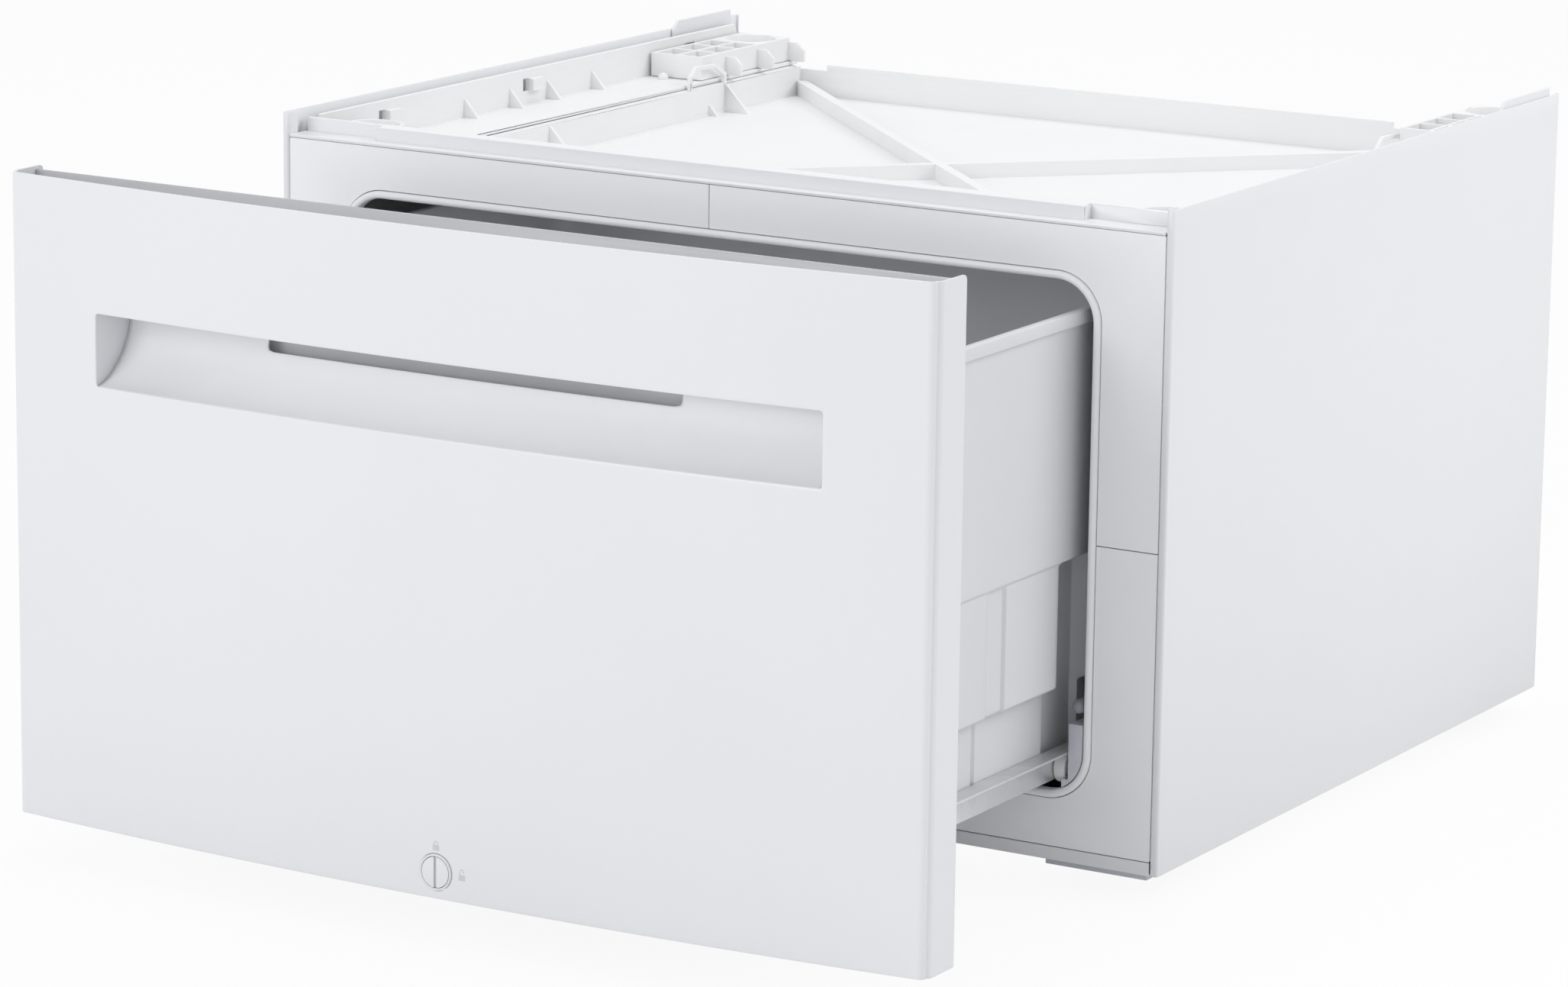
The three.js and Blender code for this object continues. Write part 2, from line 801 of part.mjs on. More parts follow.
// Rear seat: a block of open cells with a round cup, where a rear foot of the washer stands. Two webs
// and an ear reach inwards over the tray's side wall.
function rearSeat(s) {
  const front = rearSeatRear - rearSeatLength;
  const outer = block([s * seatInnerX, s * seatOuterX], [front, rearSeatRear], [seatBottom, seatTop]);
  const cupY = rearSeatRear - cupRadius - cupWall;
  const cellsRear = cupY - cupRadius - seatWall;
  const cellLength = (cellsRear - front - (cellRows + 1) * seatWall) / cellRows;
  const cellWidth = (seatOuterX - seatInnerX - (cellColumns + 1) * seatWall) / cellColumns;
  const zs = [seatBottom + seatFloor, seatTop + past];
  const cells = [];
  for (let row = 0; row < cellRows; row += 1) {
    for (let column = 0; column < cellColumns; column += 1) {
      const y = front + seatWall + row * (cellLength + seatWall);
      const x = seatInnerX + seatWall + column * (cellWidth + seatWall);
      cells.push(block([s * x, s * (x + cellWidth)], [y, y + cellLength], zs));
    }
  }
  const webs = [...seatWebPlaces.map((y) => front + y), rearSeatRear - seatWall].map((y) => seatWeb(s, y));
  return cut(add(outer, ...webs), rodZ(cupRadius, zs, s * seatMiddleX, cupY, 28), ...cells);
}

function seatWeb(s, y) {
  const tip = seatInnerX - seatWebReach;
  const top = seatBottom + seatWebHeight;
  const outline = [
    [s * (seatInnerX + seatWall / 2), seatBottom],
    [s * tip, seatBottom],
    [s * tip, top - seatWebChamfer],
    [s * (tip + seatWebChamfer), top],
    [s * (seatInnerX + seatWall / 2), top],
  ];
  return prismY(polygon(outline), y, y + seatWall);
}

// Front seat: a round cup with two screw lugs.
function frontSeat(s) {
  const x = s * seatMiddleX;
  const y = channelFront + seat + frontSeatGap;
  const cup = rodZ(frontSeatRadius, [seatBottom, seatTop - past], x, y, 28);
  const recess = rodZ(frontSeatRadius - seatWall, [seatBottom + seatFloor, seatTop], x, y, 28);
  const lugs = [-1, 1].map((end) =>
    block(
      [x - frontLugWidth / 2, x + frontLugWidth / 2],
      [y + end * (frontSeatRadius - seatWall), y + end * (frontSeatRadius + frontLugReach)],
      [seatBottom, seatBottom + frontLugHeight],
    ),
  );
  return cut(add(cup, ...lugs), recess);
}

for (const [side, s] of sides) {
  piece(cabinet, `side_channel_${side}`, sideChannel(s), trayPlastic);
  piece(cabinet, `rear_foot_seat_${side}`, rearSeat(s), trayPlastic);
  piece(cabinet, `front_foot_seat_${side}`, frontSeat(s), trayPlastic);
}

// ---------------------------------------------------------------- runners, brackets and rollers

// Cabinet runner: a sheet profile whose lower shelf carries the rear roller and whose upper shelf
// keeps the drawer's rail from lifting. Its foot stands on the base pan.
function runner(s) {
  const shelf = rollerZ - rollerRadius - seat;
  const top = railTop + sheet;
  const web = runnerWebX;
  const t = runnerThickness;
  const foot = sheet + seat;
  const hook = railFlangeOuter - runnerHook;
  const outline = [
    [web + t, foot],
    [web + runnerFootWidth, foot],
    [web + runnerFootWidth, foot + t],
    [web + t, foot + t],
    [web + t, top + t],
    [hook, top + t],
    [hook, top],
    [web, top],
    [web, shelf],
    [rollerInner - seat, shelf],
    [rollerInner - seat, shelf - t],
    [web, shelf - t],
    [web, foot],
  ];
  const points = outline.map(([x, z]) => [s * x, z]);
  return prismY(polygon(points), bracketFront + bracketDepth + seat, backPanelFront - runnerRearGap);
}

// Roller bracket: the upright inside the rim that holds the front roller's axle.
function rollerBracket(s) {
  const rear = bracketFront + bracketDepth;
  const upright = block(
    [s * bracketInner, s * rimHalfWidth],
    [bracketFront, rear],
    [bracketBottom, bracketBottom + bracketHeight],
  );
  const toe = block(
    [s * (bracketInner - bracketToe), s * (bracketInner + past)],
    [bracketFront, bracketFront + bracketToeDepth],
    [bracketBottom, bracketBottom + bracketToeHeight],
  );
  const inside = prismY(rimOutline(-rimWidth - seat), bracketFront - past, rear + past);
  return add(upright, toe).intersect(inside);
}

// A turned axle with a collar on the side of the bracket or rail that carries it.
function axle(x0, x1, collarA, collarB, y) {
  return add(
    rodX(rollerBore - axleClearance, [x0, x1], y, rollerZ),
    rodX(axleCollarRadius, [collarA, collarB], y, rollerZ),
  );
}

function roller(s, y) {
  const xs = [s * rollerInner, s * rollerOuter];
  const bore = [s * (rollerInner - past), s * (rollerOuter + past)];
  const dish = [s * (rollerOuter - rollerDish), s * (rollerOuter + past)];
  return cut(
    rodX(rollerRadius, xs, y, rollerZ, 32),
    rodX(rollerBore, bore, y, rollerZ),
    rodX(rollerRadius - rollerTyre, dish, y, rollerZ, 32),
  );
}

// Stop bumper: a rubber finger along the rim's inner side, with a round nose.
function bumper(s) {
  const x = s * (rimInnerX - seat - bumperRadius);
  const y = bracketFront + bumperRadius;
  const nose = new THREE.SphereGeometry(bumperRadius, 16, 8).translate(x, y, bumperHeight);
  const stem = rodY(bumperRadius, [y, bracketFront + bumperLength], x, bumperHeight, 16);
  return add(stem, solidOf(nose));
}

for (const [side, s] of sides) {
  piece(cabinet, `cabinet_runner_${side}`, runner(s), zincSteel);
  piece(cabinet, `roller_bracket_${side}`, rollerBracket(s), padPlastic);
  piece(cabinet, `stop_bumper_${side}`, bumper(s), softRubber);
  const [inner, outer] = [s * collarInnerEnd, s * collarOuterEnd];
  const frontAxle = axle(s * rollerInner, outer, inner, outer, frontRollerY);
  piece(cabinet, `front_roller_axle_${side}`, frontAxle, zincSteel);
  piece(cabinet, `front_roller_${side}`, roller(s, frontRollerY), rollerPlastic);
}

// ---------------------------------------------------------------- drawer front

// How far forward the bowed face stands at x: a shallow parabola, highest in the middle.
function faceY(x) {
  return -(closedGap + flangeDepth) - bow * (1 - (x / half) ** 2);
}

// Outline of the bowed shell seen from above, inset by a wall, open or closed at the rear.
function shellOutline(inset, rear) {
  const radius = shellEdgeRadius - inset;
  const centreX = half - shellEdgeRadius;
  const centreY = faceY(centreX) + shellEdgeRadius;
  const shape = new THREE.Shape();
  shape.moveTo(-(half - inset), rear);
  const left = [];
  const face = [];
  const right = [];
  for (let k = 0; k <= 4; k += 1) {
    const angle = (k / 4) * (Math.PI / 2);
    left.push([-centreX - radius * Math.cos(angle), centreY - radius * Math.sin(angle)]);
    right.unshift([centreX + radius * Math.cos(angle), centreY - radius * Math.sin(angle)]);
  }
  const steps = 22;
  for (let k = 1; k < steps; k += 1) {
    const x = centreX * ((2 * k) / steps - 1);
    face.push([x, faceY(x) + inset]);
  }
  for (const [x, y] of [...left, ...face, ...right]) shape.lineTo(x, y);
  shape.lineTo(half - inset, rear);
  return shape;
}

// Shell: bowed face, side flanges with round upper rear corners, and a bottom fold.
function frontShell() {
  const skin = prismZ(shellOutline(0, -closedGap), frontBottom, frontTop);
  const hollow = prismZ(
    shellOutline(shellThickness, past),
    frontBottom + shellThickness,
    frontTop + past,
  );
  const gripOutline = roundedRect(-gripHalfWidth, gripHalfWidth, gripBottom, gripTop, gripEndRadius);
  const grip = prismY(gripOutline, ...throughFront);
  const lockHole = rodY(knobRadius + lockWall + seat, throughFront, 0, lockHeight, 28);
  return cut(skin, hollow, grip, lockHole, flangeCorner());
}

// What the round upper rear corner takes away from both side flanges.
function flangeCorner() {
  const r = flangeCornerRadius;
  const shape = new THREE.Shape();
  shape.moveTo(past, frontTop + past);
  shape.lineTo(-closedGap - r, frontTop + past);
  shape.lineTo(-closedGap - r, frontTop);
  shape.absarc(-closedGap - r, frontTop - r, r, Math.PI / 2, 0, true);
  shape.lineTo(past, frontTop - r);
  return prismX(shape, -half - past, half + past);
}

// Inner panel: a flat sheet behind the shell, with the grip's window and the lock's hole.
function innerPanel() {
  const wide = half - shellThickness - seat;
  const plate = block(
    [-wide, wide],
    [innerPanelFront, innerPanelRear],
    [frontBottom + shellThickness + seat, innerPanelTop],
  );
  const reach = gripHalfWidth + gripWall + seat;
  const through = [innerPanelFront - past, innerPanelRear + past];
  const window = block(
    [-reach, reach],
    through,
    [gripBottom - gripWall - seat, gripTop + gripHook + gripWall + seat],
  );
  const lockHole = rodY(knobRadius + lockWall + seat, through, 0, lockHeight, 28);
  return cut(plate, window, lockHole);
}

// The scoop's section: depth behind the face and height, on a curve from its lower edge to its back.
function scoopProfile() {
  const points = [];
  for (let k = 0; k <= 8; k += 1) {
    const t = k / 8;
    const angle = t * (Math.PI / 2);
    const height = gripBottom + seat + gripHeight * 0.86 * (1 - Math.cos(angle)) ** 0.8;
    const depth = shellThickness * t + (gripBack - shellThickness) * Math.sin(angle) ** 1.05;
    points.push([depth, height]);
  }
  return points;
}

// Grip: a block lofted along the bow, less the scoop that the fingers enter. Behind the shell's lower
// lip the scoop runs on upwards, so that the fingers hook over it, and its back is open in the middle.
function gripInsert() {
  const skin = shellThickness + seat;
  const lip = skin + gripWall;
  const top = gripTop + gripHook;
  const bottom = gripBottom - gripWall;
  const rear = gripBack + gripWall;
  const mouth = -2 * shellThickness;
  const stations = (reach) => Array.from({ length: 13 }, (_, k) => reach * (k / 6 - 1));
  const hollowOutline = [
    [mouth, gripBottom + seat],
    ...scoopProfile(),
    [gripBack, top],
    [lip, top],
    [lip, gripTop],
    [mouth, gripTop],
  ];
  const bodyOutline = [
    [skin, bottom],
    [gripBack * 0.55, bottom],
    [rear, gripBottom + gripHeight * 0.3],
    [rear, top + gripWall],
    [skin, top + gripWall],
  ];
  const section = (outline) => (x) => outline.map(([d, z]) => [x, faceY(x) + d, z]);
  const body = loft(stations(gripHalfWidth + gripWall).map(section(bodyOutline)));
  const hollow = loft(stations(gripHalfWidth).map(section(hollowOutline)));
  const slot = block(
    [-gripSlotHalfWidth, gripSlotHalfWidth],
    [faceY(gripSlotHalfWidth) + gripBack / 2, 0],
    [gripBottom + gripSlotRise, top - gripWall],
  );
  return cut(body, hollow, slot);
}

piece(drawer, "drawer_front_shell", frontShell(), frontPaint);
piece(drawer, "drawer_inner_panel", innerPanel(), innerSteel);
piece(drawer, "handle_grip", gripInsert(), frontPaint);

// ---------------------------------------------------------------- drawer tub and rails

// Half-width of the tub at each height, for the outer skin (inset 0) and the inner one.
function tubSection(inset) {
  const low = tubLowHalfWidth - inset;
  const mid = tubMidHalfWidth - inset;
  const high = tubHighHalfWidth - inset;
  const right = [
    [low - tubChamfer, tubBottom + inset],
    [low, tubBottom + tubChamfer + inset],
    [low, tubStepBottom],
    [mid, tubStepTop],
    [mid, tubBandBottom],
    [high, tubBandBottom + bandProud],
    [high, tubTop + (inset > 0 ? past : 0)],
  ];
  const left = right.map(([x, z]) => [-x, z]).reverse();
  return polygon([...right, ...left]);
}

// Tub: an open box with a bead round its mouth, bosses that meet the inner panel, and upright pockets
// pressed into its sides under a plain band. The middle pocket is deeper and runs down to the floor; a
// narrow groove goes on down from the front edge of each other pocket.
function tub() {
  const skin = prismY(tubSection(0), -tubFront, tubRear);
  const hollow = prismY(tubSection(tubWall), -tubFront + tubWall, tubRear - tubWall);
  const bead = cut(
    block(
      [-tubHighHalfWidth - beadProud, tubHighHalfWidth + beadProud],
      [-tubFront, tubRear],
      [tubTop - beadHeight, tubTop],
    ),
    block(
      [-tubHighHalfWidth + tubWall, tubHighHalfWidth - tubWall],
      [-tubFront + tubWall, tubRear - tubWall],
      [tubTop - beadHeight - past, tubTop + past],
    ),
  );
  const bosses = sides.flatMap(([, s]) =>
    tubBossHeights.map((rise) => {
      const ys = [innerPanelRear + seat, -tubFront + past];
      return rodY(tubBossRadius, ys, s * (tubLowHalfWidth - tubBossInset), tubBottom + rise);
    }),
  );
  const pockets = sides.flatMap(([, s]) => sidePockets(s));
  const walls = pockets.map((pocket) => pocket.wall.intersect(skin));
  const walled = add(cut(skin, hollow), bead, ...bosses, ...walls);
  return cut(walled, ...pockets.map((pocket) => pocket.room));
}

function sidePockets(s) {
  const pockets = [];
  const pocket = (x, ys, zs) => ({
    room: block([s * x, s * (tubHighHalfWidth + past)], ys, zs),
    wall: block(
      [s * (x - tubWall), s * (tubHighHalfWidth + past)],
      [ys[0] - tubWall, ys[1] + tubWall],
      [zs[0] - tubWall, zs[1] + tubWall],
    ),
  });
  for (let k = 0; pocketFirst + k * pocketPitch + pocketWidth < tubRear; k += 1) {
    const y = pocketFirst + k * pocketPitch;
    if (k === tallPocket) {
      const zs = [tubBottom + tallPocketRise, tubBandBottom];
      pockets.push(pocket(tubLowHalfWidth - tallPocketDepth, [y, y + tallPocketWidth], zs));
    } else {
      const grooveZs = [tubBottom + tallPocketRise, tubStepBottom + past];
      pockets.push(pocket(tubMidHalfWidth - pocketDepth, [y, y + pocketWidth], [tubStepBottom, tubBandBottom]));
      pockets.push(pocket(tubLowHalfWidth - grooveDepth, [y, y + grooveWidth], grooveZs));
    }
  }
  return pockets;
}

// Drawer rail: an angle beside the tub. Its flange rides on the front roller.
function drawerRail(s) {
  const web = tubLowHalfWidth + seat;
  const outline = [
    [web, railTop],
    [web, railTop - railWebDrop],
    [web + railThickness, railTop - railWebDrop],
    [web + railThickness, railFlangeBottom],
    [railFlangeOuter, railFlangeBottom],
    [railFlangeOuter, railTop],
  ];
  return prismY(polygon(outline.map(([x, z]) => [s * x, z])), innerPanelRear + seat, tubRear);
}

piece(drawer, "drawer_tub", tub(), tubPlastic);
for (const [side, s] of sides) {
  piece(drawer, `drawer_rail_${side}`, drawerRail(s), zincSteel);
  const [inner, outer] = [s * collarInnerEnd, s * (collarInnerEnd + axleEnd)];
  const rearAxle = axle(s * (railWebOuter + axleClearance), outer, inner, outer, rearRollerY);
  piece(drawer, `rear_roller_axle_${side}`, rearAxle, zincSteel);
  piece(drawer, `rear_roller_${side}`, roller(s, rearRollerY), rollerPlastic);
}

// ---------------------------------------------------------------- drawer lock

// Lock body: a sleeve with a shallow front cup that the knob turns in.
function lockBody() {
  const outer = rodY(knobRadius + lockWall, [knobFront, -lockBodyRear], 0, lockHeight, 28);
  const cupYs = [knobFront - past, knobFront + knobThickness + seat];
  const cup = rodY(knobRadius + seat, cupYs, 0, lockHeight, 28);
  const bore = rodY(shaftRadius + seat, [knobFront, 0], 0, lockHeight);
  return cut(outer, cup, bore);
}

// Knob: a disc with a coin slot on a long shaft that ends in the cam and its screw.
function lockKnob() {
  const disc = rodY(knobRadius, [knobFront, knobFront + knobThickness], 0, lockHeight, 28);
  const shaft = rodY(shaftRadius, [knobFront + knobThickness / 2, camRear], 0, lockHeight);
  const slot = block(
    [-knobSlotWidth / 2, knobSlotWidth / 2],
    [knobFront - past, knobFront + knobSlotDepth],
    [lockHeight - knobRadius - past, lockHeight + knobRadius + past],
  );
  return cut(add(disc, shaft), slot);
}

// Cam: a hub with a blade that points to the left while the drawer is free.
function lockCam() {
  const ys = [camDepthBehindFront, camRear];
  const hub = rodY(camHubRadius, ys, 0, lockHeight);
  const blade = block([-camReach, 0], ys, [lockHeight - camWidth / 2, lockHeight + camWidth / 2]);
  return cut(add(hub, blade), rodY(shaftRadius + seat, [ys[0] - past, ys[1] + past], 0, lockHeight));
}

const camScrew = rodY(camScrewRadius, [camRear + seat, camRear + seat + camScrewHead], 0, lockHeight, 12);
piece(drawer, "lock_body", lockBody(), frontPaint);
piece(drawer, "lock_knob", lockKnob(), frontPaint);
piece(drawer, "lock_cam", lockCam(), zincSteel);
piece(drawer, "lock_cam_screw", camScrew, zincSteel);

// ---------------------------------------------------------------- corner pads and feet

const ends = [
  ["front", cornerPadFront, footInset],
  ["rear", cabinetDepth - cornerPadFront - cornerPadLength, cabinetDepth - footInset],
];

for (const [side, s] of sides) {
  for (const [end, padFront, footY] of ends) {
    const x = s * (half - footMargin);
    const outer = half - cornerPadMargin;
    const pad = block(
      [s * (outer - cornerPadWidth), s * outer],
      [padFront, padFront + cornerPadLength],
      [-cornerPadThickness, -seat],
    );
    const hole = rodZ(stemRadius + seat, [-cornerPadThickness - past, past], x, footY);
    piece(cabinet, `corner_pad_${end}_${side}`, cut(pad, hole), padPlastic);

    const padZs = [-floorDrop, -floorDrop + footPadThickness];
    piece(cabinet, `foot_pad_${end}_${side}`, rodZ(footPadRadius, padZs, x, footY, 28), softRubber);
    const screwBottom = padZs[1] + seat;
    const stem = rodZ(stemRadius, [screwBottom, stemTop], x, footY);
    const nut = rodZ(nutRadius, [screwBottom, screwBottom + nutHeight], x, footY, 6);
    piece(cabinet, `foot_screw_${end}_${side}`, add(stem, nut), zincSteel);
  }
}

// ---------------------------------------------------------------- the object's own frame

const frontMost = knobFront - restOpening;
const object = new THREE.Group();
cabinet.position.set(0, -(frontMost + cabinetDepth) / 2, floorDrop);
object.add(cabinet);

export default object;
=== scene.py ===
"""A washer pedestal with a pull-out storage drawer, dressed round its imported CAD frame."""

import math

import bmesh
import bpy
import numpy as np
from mathutils import Matrix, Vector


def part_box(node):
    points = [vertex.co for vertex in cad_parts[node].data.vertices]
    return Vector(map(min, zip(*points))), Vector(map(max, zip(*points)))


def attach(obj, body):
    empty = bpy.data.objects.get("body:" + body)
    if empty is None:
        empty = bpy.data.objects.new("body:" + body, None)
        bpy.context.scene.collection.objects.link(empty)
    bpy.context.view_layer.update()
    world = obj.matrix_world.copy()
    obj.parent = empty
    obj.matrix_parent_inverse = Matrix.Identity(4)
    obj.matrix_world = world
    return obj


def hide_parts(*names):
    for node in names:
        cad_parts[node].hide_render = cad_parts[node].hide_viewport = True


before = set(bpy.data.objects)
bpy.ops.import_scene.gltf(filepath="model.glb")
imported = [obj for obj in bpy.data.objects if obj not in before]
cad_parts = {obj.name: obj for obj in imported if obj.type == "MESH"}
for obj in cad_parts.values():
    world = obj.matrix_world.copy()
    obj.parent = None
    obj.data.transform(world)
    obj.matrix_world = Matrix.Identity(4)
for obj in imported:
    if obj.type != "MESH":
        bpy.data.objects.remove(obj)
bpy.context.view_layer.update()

# ------------------------------------------------------------------ camera
# The camera stands to the right of the open drawer and a little above it, with a long lens. Its place
# and turn were fitted to eleven corners of the object in the photograph.

photo_width = 2054
sensor_width = 36.0
focal_length_pixels = 7779.3
camera_place = (1.75507, -2.97792, 0.94528)
camera_turn = 0.5373
camera_pitch = 0.2188
camera_roll = 0.0131

forward = np.array([-math.sin(camera_turn), math.cos(camera_turn), -math.tan(camera_pitch)])
forward /= np.linalg.norm(forward)
level_right = np.array([math.cos(camera_turn), math.sin(camera_turn), 0.0])
level_up = np.cross(level_right, forward)
right = math.cos(camera_roll) * level_right + math.sin(camera_roll) * level_up
up = math.cos(camera_roll) * level_up - math.sin(camera_roll) * level_right

camera = bpy.data.objects.new("camera", bpy.data.cameras.new("camera"))
camera.data.sensor_width = sensor_width
camera.data.lens = focal_length_pixels / photo_width * sensor_width
camera.matrix_world = Matrix.Translation(camera_place) @ Matrix(
    np.column_stack([right, up, -forward]).tolist()
).to_4x4()
bpy.context.scene.collection.objects.link(camera)
bpy.context.scene.camera = camera
bpy.context.scene.view_settings.view_transform = "Standard"

# ------------------------------------------------------------------ light
# Plain studio light: a white room, a wide soft lamp on the right, one at the front left and a weaker
# one above. Lamps are (name, place, size, strength in watts).

lamps = (
    ("lamp_right", (2.7, 1.0, 2.4), 2.0, 34.0),
    ("lamp_front", (-0.9, -3.2, 1.35), 2.0, 34.0),
    ("lamp_above", (-0.2, 0.9, 3.0), 2.0, 19.0),
)
lit_point = (0.0, -0.05, 0.2)
for lamp_name, place, size, strength in lamps:
    lamp = bpy.data.objects.new(lamp_name, bpy.data.lights.new(lamp_name, "AREA"))
    lamp.data.shape = "DISK"
    lamp.data.size = size
    lamp.data.energy = strength
    lamp.location = place
    aim = np.array(lit_point) - np.array(place)
    turn = math.atan2(aim[1], aim[0]) - math.pi / 2
    tilt = math.atan2(np.hypot(aim[0], aim[1]), -aim[2])
    lamp.rotation_euler = (tilt, 0.0, turn)
    bpy.context.scene.collection.objects.link(lamp)

# ------------------------------------------------------------------ room and floor
# A seamless white room on a pale floor. What the camera sees directly or in a reflection is plain white,
# and the floor keeps the soft shadow of the object.


class Wire:
    """One shader socket. Arithmetic on it adds a Math node to its finish and gives that socket."""

    def __init__(self, finish, socket):
        self.finish = finish
        self.socket = socket

    def worked(self, operation, first, second=0.0):
        return self.finish.node("Math", {"operation": operation}, {0: first, 1: second})

    def __add__(self, other):
        return self.worked("ADD", self, other)

    def __sub__(self, other):
        return self.worked("SUBTRACT", self, other)

    def __rsub__(self, other):
        return self.worked("SUBTRACT", other, self)

    def __mul__(self, other):
        return self.worked("MULTIPLY", self, other)

    __radd__ = __add__

    def between(self, low, high):
        """0 below low, 1 above high, and a smooth rise from one to the other."""
        return self.finish.node(
            "MapRange", {"interpolation_type": "SMOOTHSTEP"}, {0: self, 1: low, 2: high}
        )


class Finish:
    """A material, or the world's, with methods that add nodes to it.

    slot is the name of the part's material slot that it stands for.
    """

    def __init__(self, name, home=None):
        self.slot = name
        self.material = home or bpy.data.materials.new(name)
        self.material.use_nodes = True
        self.tree = self.material.node_tree
        self.tree.nodes.clear()

    def node(self, kind, settings=None, inputs=None, out=0):
        added = self.tree.nodes.new("ShaderNode" + kind)
        for name, value in (settings or {}).items():
            setattr(added, name, value)
        for socket, value in (inputs or {}).items():
            if isinstance(value, Wire):
                self.tree.links.new(value.socket, added.inputs[socket])
            else:
                added.inputs[socket].default_value = value
        return Wire(self, added.outputs[out]) if len(added.outputs) else added

    def pattern(self, kind, scale, out=0, **more):
        """A procedural texture, read from Object coordinates."""
        place = self.node("TexCoord", out="Object")
        return self.node("Tex" + kind, inputs={"Vector": place, "Scale": scale, **more}, out=out)

    def surface(self, share, pale, shaded, roughness, relief, more):
        """The shader that ends a finish; relief is (strength, distance, height) of its bump.

        The colour turns from pale to shaded as share goes from 0 to 1.
        """
        tones = {0: share, 6: (*pale, 1.0), 7: (*shaded, 1.0)}
        colour = self.node("Mix", {"data_type": "RGBA"}, tones, out=2)
        bump = self.node("Bump", inputs=dict(zip(("Strength", "Distance", "Height"), relief)))
        inputs = {"Base Color": colour, "Roughness": roughness, "Normal": bump, **more}
        self.node("OutputMaterial", inputs={0: self.node("BsdfPrincipled", inputs=inputs)})
        return self


def seen_white(finish, light):
    """Mixes in plain white for rays from the camera, from gloss and from glass, by the share light."""
    kinds = ("Is Camera Ray", "Is Glossy Ray", "Is Transmission Ray")
    camera_ray, glossy_ray, glass_ray = [finish.node("LightPath", out=kind) for kind in kinds]
    return (camera_ray + glossy_ray + glass_ray).between(0.0, 1.0) * light


white = (1.0, 1.0, 1.0, 1.0)
room_light = 0.62
room_colour = (0.985, 0.99, 1.0, 1.0)
world = bpy.data.worlds.new("room")
bpy.context.scene.world = world
room = Finish("room", world)
around = room.node("Background", inputs={"Color": room_colour, "Strength": room_light})
plain_white = room.node("Background", inputs={"Color": white, "Strength": 1.0})
room_mix = room.node("MixShader", inputs={0: seen_white(room, 1.0), 1: around, 2: plain_white})
room.node("OutputWorld", inputs={0: room_mix})

floor_reach = 9.0
floor_tone = (0.86, 0.86, 0.86, 1.0)
floor_whiteness = 0.92
ring = np.linspace(0.0, 2.0 * np.pi, 97)[:-1]
floor_points = np.stack([floor_reach * np.cos(ring), floor_reach * np.sin(ring), 0.0 * ring], 1)
floor_mesh = bpy.data.meshes.new("floor")
floor_mesh.from_pydata(floor_points.tolist(), [], [list(range(len(ring)))])
floor = bpy.data.objects.new("floor", floor_mesh)
bpy.context.scene.collection.objects.link(floor)
pale_floor = Finish("pale_floor")
shaded_floor = pale_floor.node("BsdfPrincipled", inputs={"Base Color": floor_tone, "Roughness": 0.9})
white_floor = pale_floor.node("Emission", inputs={"Color": white, "Strength": 1.0})
floor_share = seen_white(pale_floor, floor_whiteness)
floor_mix = pale_floor.node("MixShader", inputs={0: floor_share, 1: shaded_floor, 2: white_floor})
pale_floor.node("OutputMaterial", inputs={0: floor_mix})
floor_mesh.materials.append(pale_floor.material)

# ------------------------------------------------------------------ side panels
# Two outer sheets of powder-coated steel. Each is folded in at the front, with a hem behind the fold,
# and folded in again at the rear, where the back panel is screwed to it.


def skin(points, around_first=False, around_second=False):
    """The quads of a grid of points, as (points, faces); either direction can run round to its start."""
    rows, columns = points.shape[:2]
    number = np.arange(rows * columns).reshape(rows, columns)
    if around_first:
        number = np.vstack([number, number[:1]])
    if around_second:
        number = np.hstack([number, number[:, :1]])
    quads = np.stack([number[:-1, :-1], number[1:, :-1], number[1:, 1:], number[:-1, 1:]], -1)
    return points.reshape(-1, 3), quads.reshape(-1, 4).tolist()


def shown(mesh, name, finish, body, replaced, hard):
    """Makes a mesh a piece that rides on a body. Edges sharper than hard degrees keep a hard shade."""
    mesh.shade_smooth()
    mesh.set_sharp_from_angle(angle=math.radians(hard))
    mesh.materials.append(finish.material)
    piece = bpy.data.objects.new(name, mesh)
    bpy.context.scene.collection.objects.link(piece)
    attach(piece, body)
    if replaced:
        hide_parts(*replaced)
    return piece


def made(name, parts, finish, body, replaced=(), merge=0.0, crease=35.0):
    """Joins (points, faces) parts in millimetres into one piece.

    Doubles closer than merge are joined and the faces turned outwards.
    """
    points = np.vstack([part[0] for part in parts]) * 0.001
    starts = np.cumsum([0] + [len(part[0]) for part in parts])
    faces = [[start + k for k in face] for start, part in zip(starts, parts) for face in part[1]]
    mesh = bpy.data.meshes.new(name)
    mesh.from_pydata(points.tolist(), [], faces)
    loose = bmesh.new()
    loose.from_mesh(mesh)
    if merge:
        bmesh.ops.remove_doubles(loose, verts=loose.verts, dist=merge * 0.001)
        bmesh.ops.dissolve_degenerate(loose, edges=loose.edges, dist=1e-7)
    bmesh.ops.recalc_face_normals(loose, faces=loose.faces)
    loose.to_mesh(mesh)
    loose.free()
    return shown(mesh, name, finish, body, replaced, crease)


def drawn_in(outline, inset):
    """A closed outline moved inwards by inset along the mitred bisector of each corner."""
    ahead = np.roll(outline, -1, 0) - outline
    ahead /= np.linalg.norm(ahead, axis=1)[:, None]
    behind = np.roll(ahead, 1, 0)
    following = np.roll(outline, -1, 0)
    area = np.sum(outline[:, 0] * following[:, 1] - outline[:, 1] * following[:, 0])
    inward = np.sign(area) * np.stack([-ahead[:, 1], ahead[:, 0]], 1)
    before = np.sign(area) * np.stack([-behind[:, 1], behind[:, 0]], 1)
    bisector = inward + before
    bisector /= np.maximum(0.25, 1.0 + np.sum(inward * before, 1))[:, None]
    return outline + inset * bisector


def stacked(layers):
    """A closed form from a stack of outlines with as many points each, with a cap at both ends."""
    points, quads = skin(np.array(layers), around_second=True)
    count = len(layers[0])
    caps = [list(range(count)), list(range(len(points) - count, len(points)))]
    return points, quads + caps


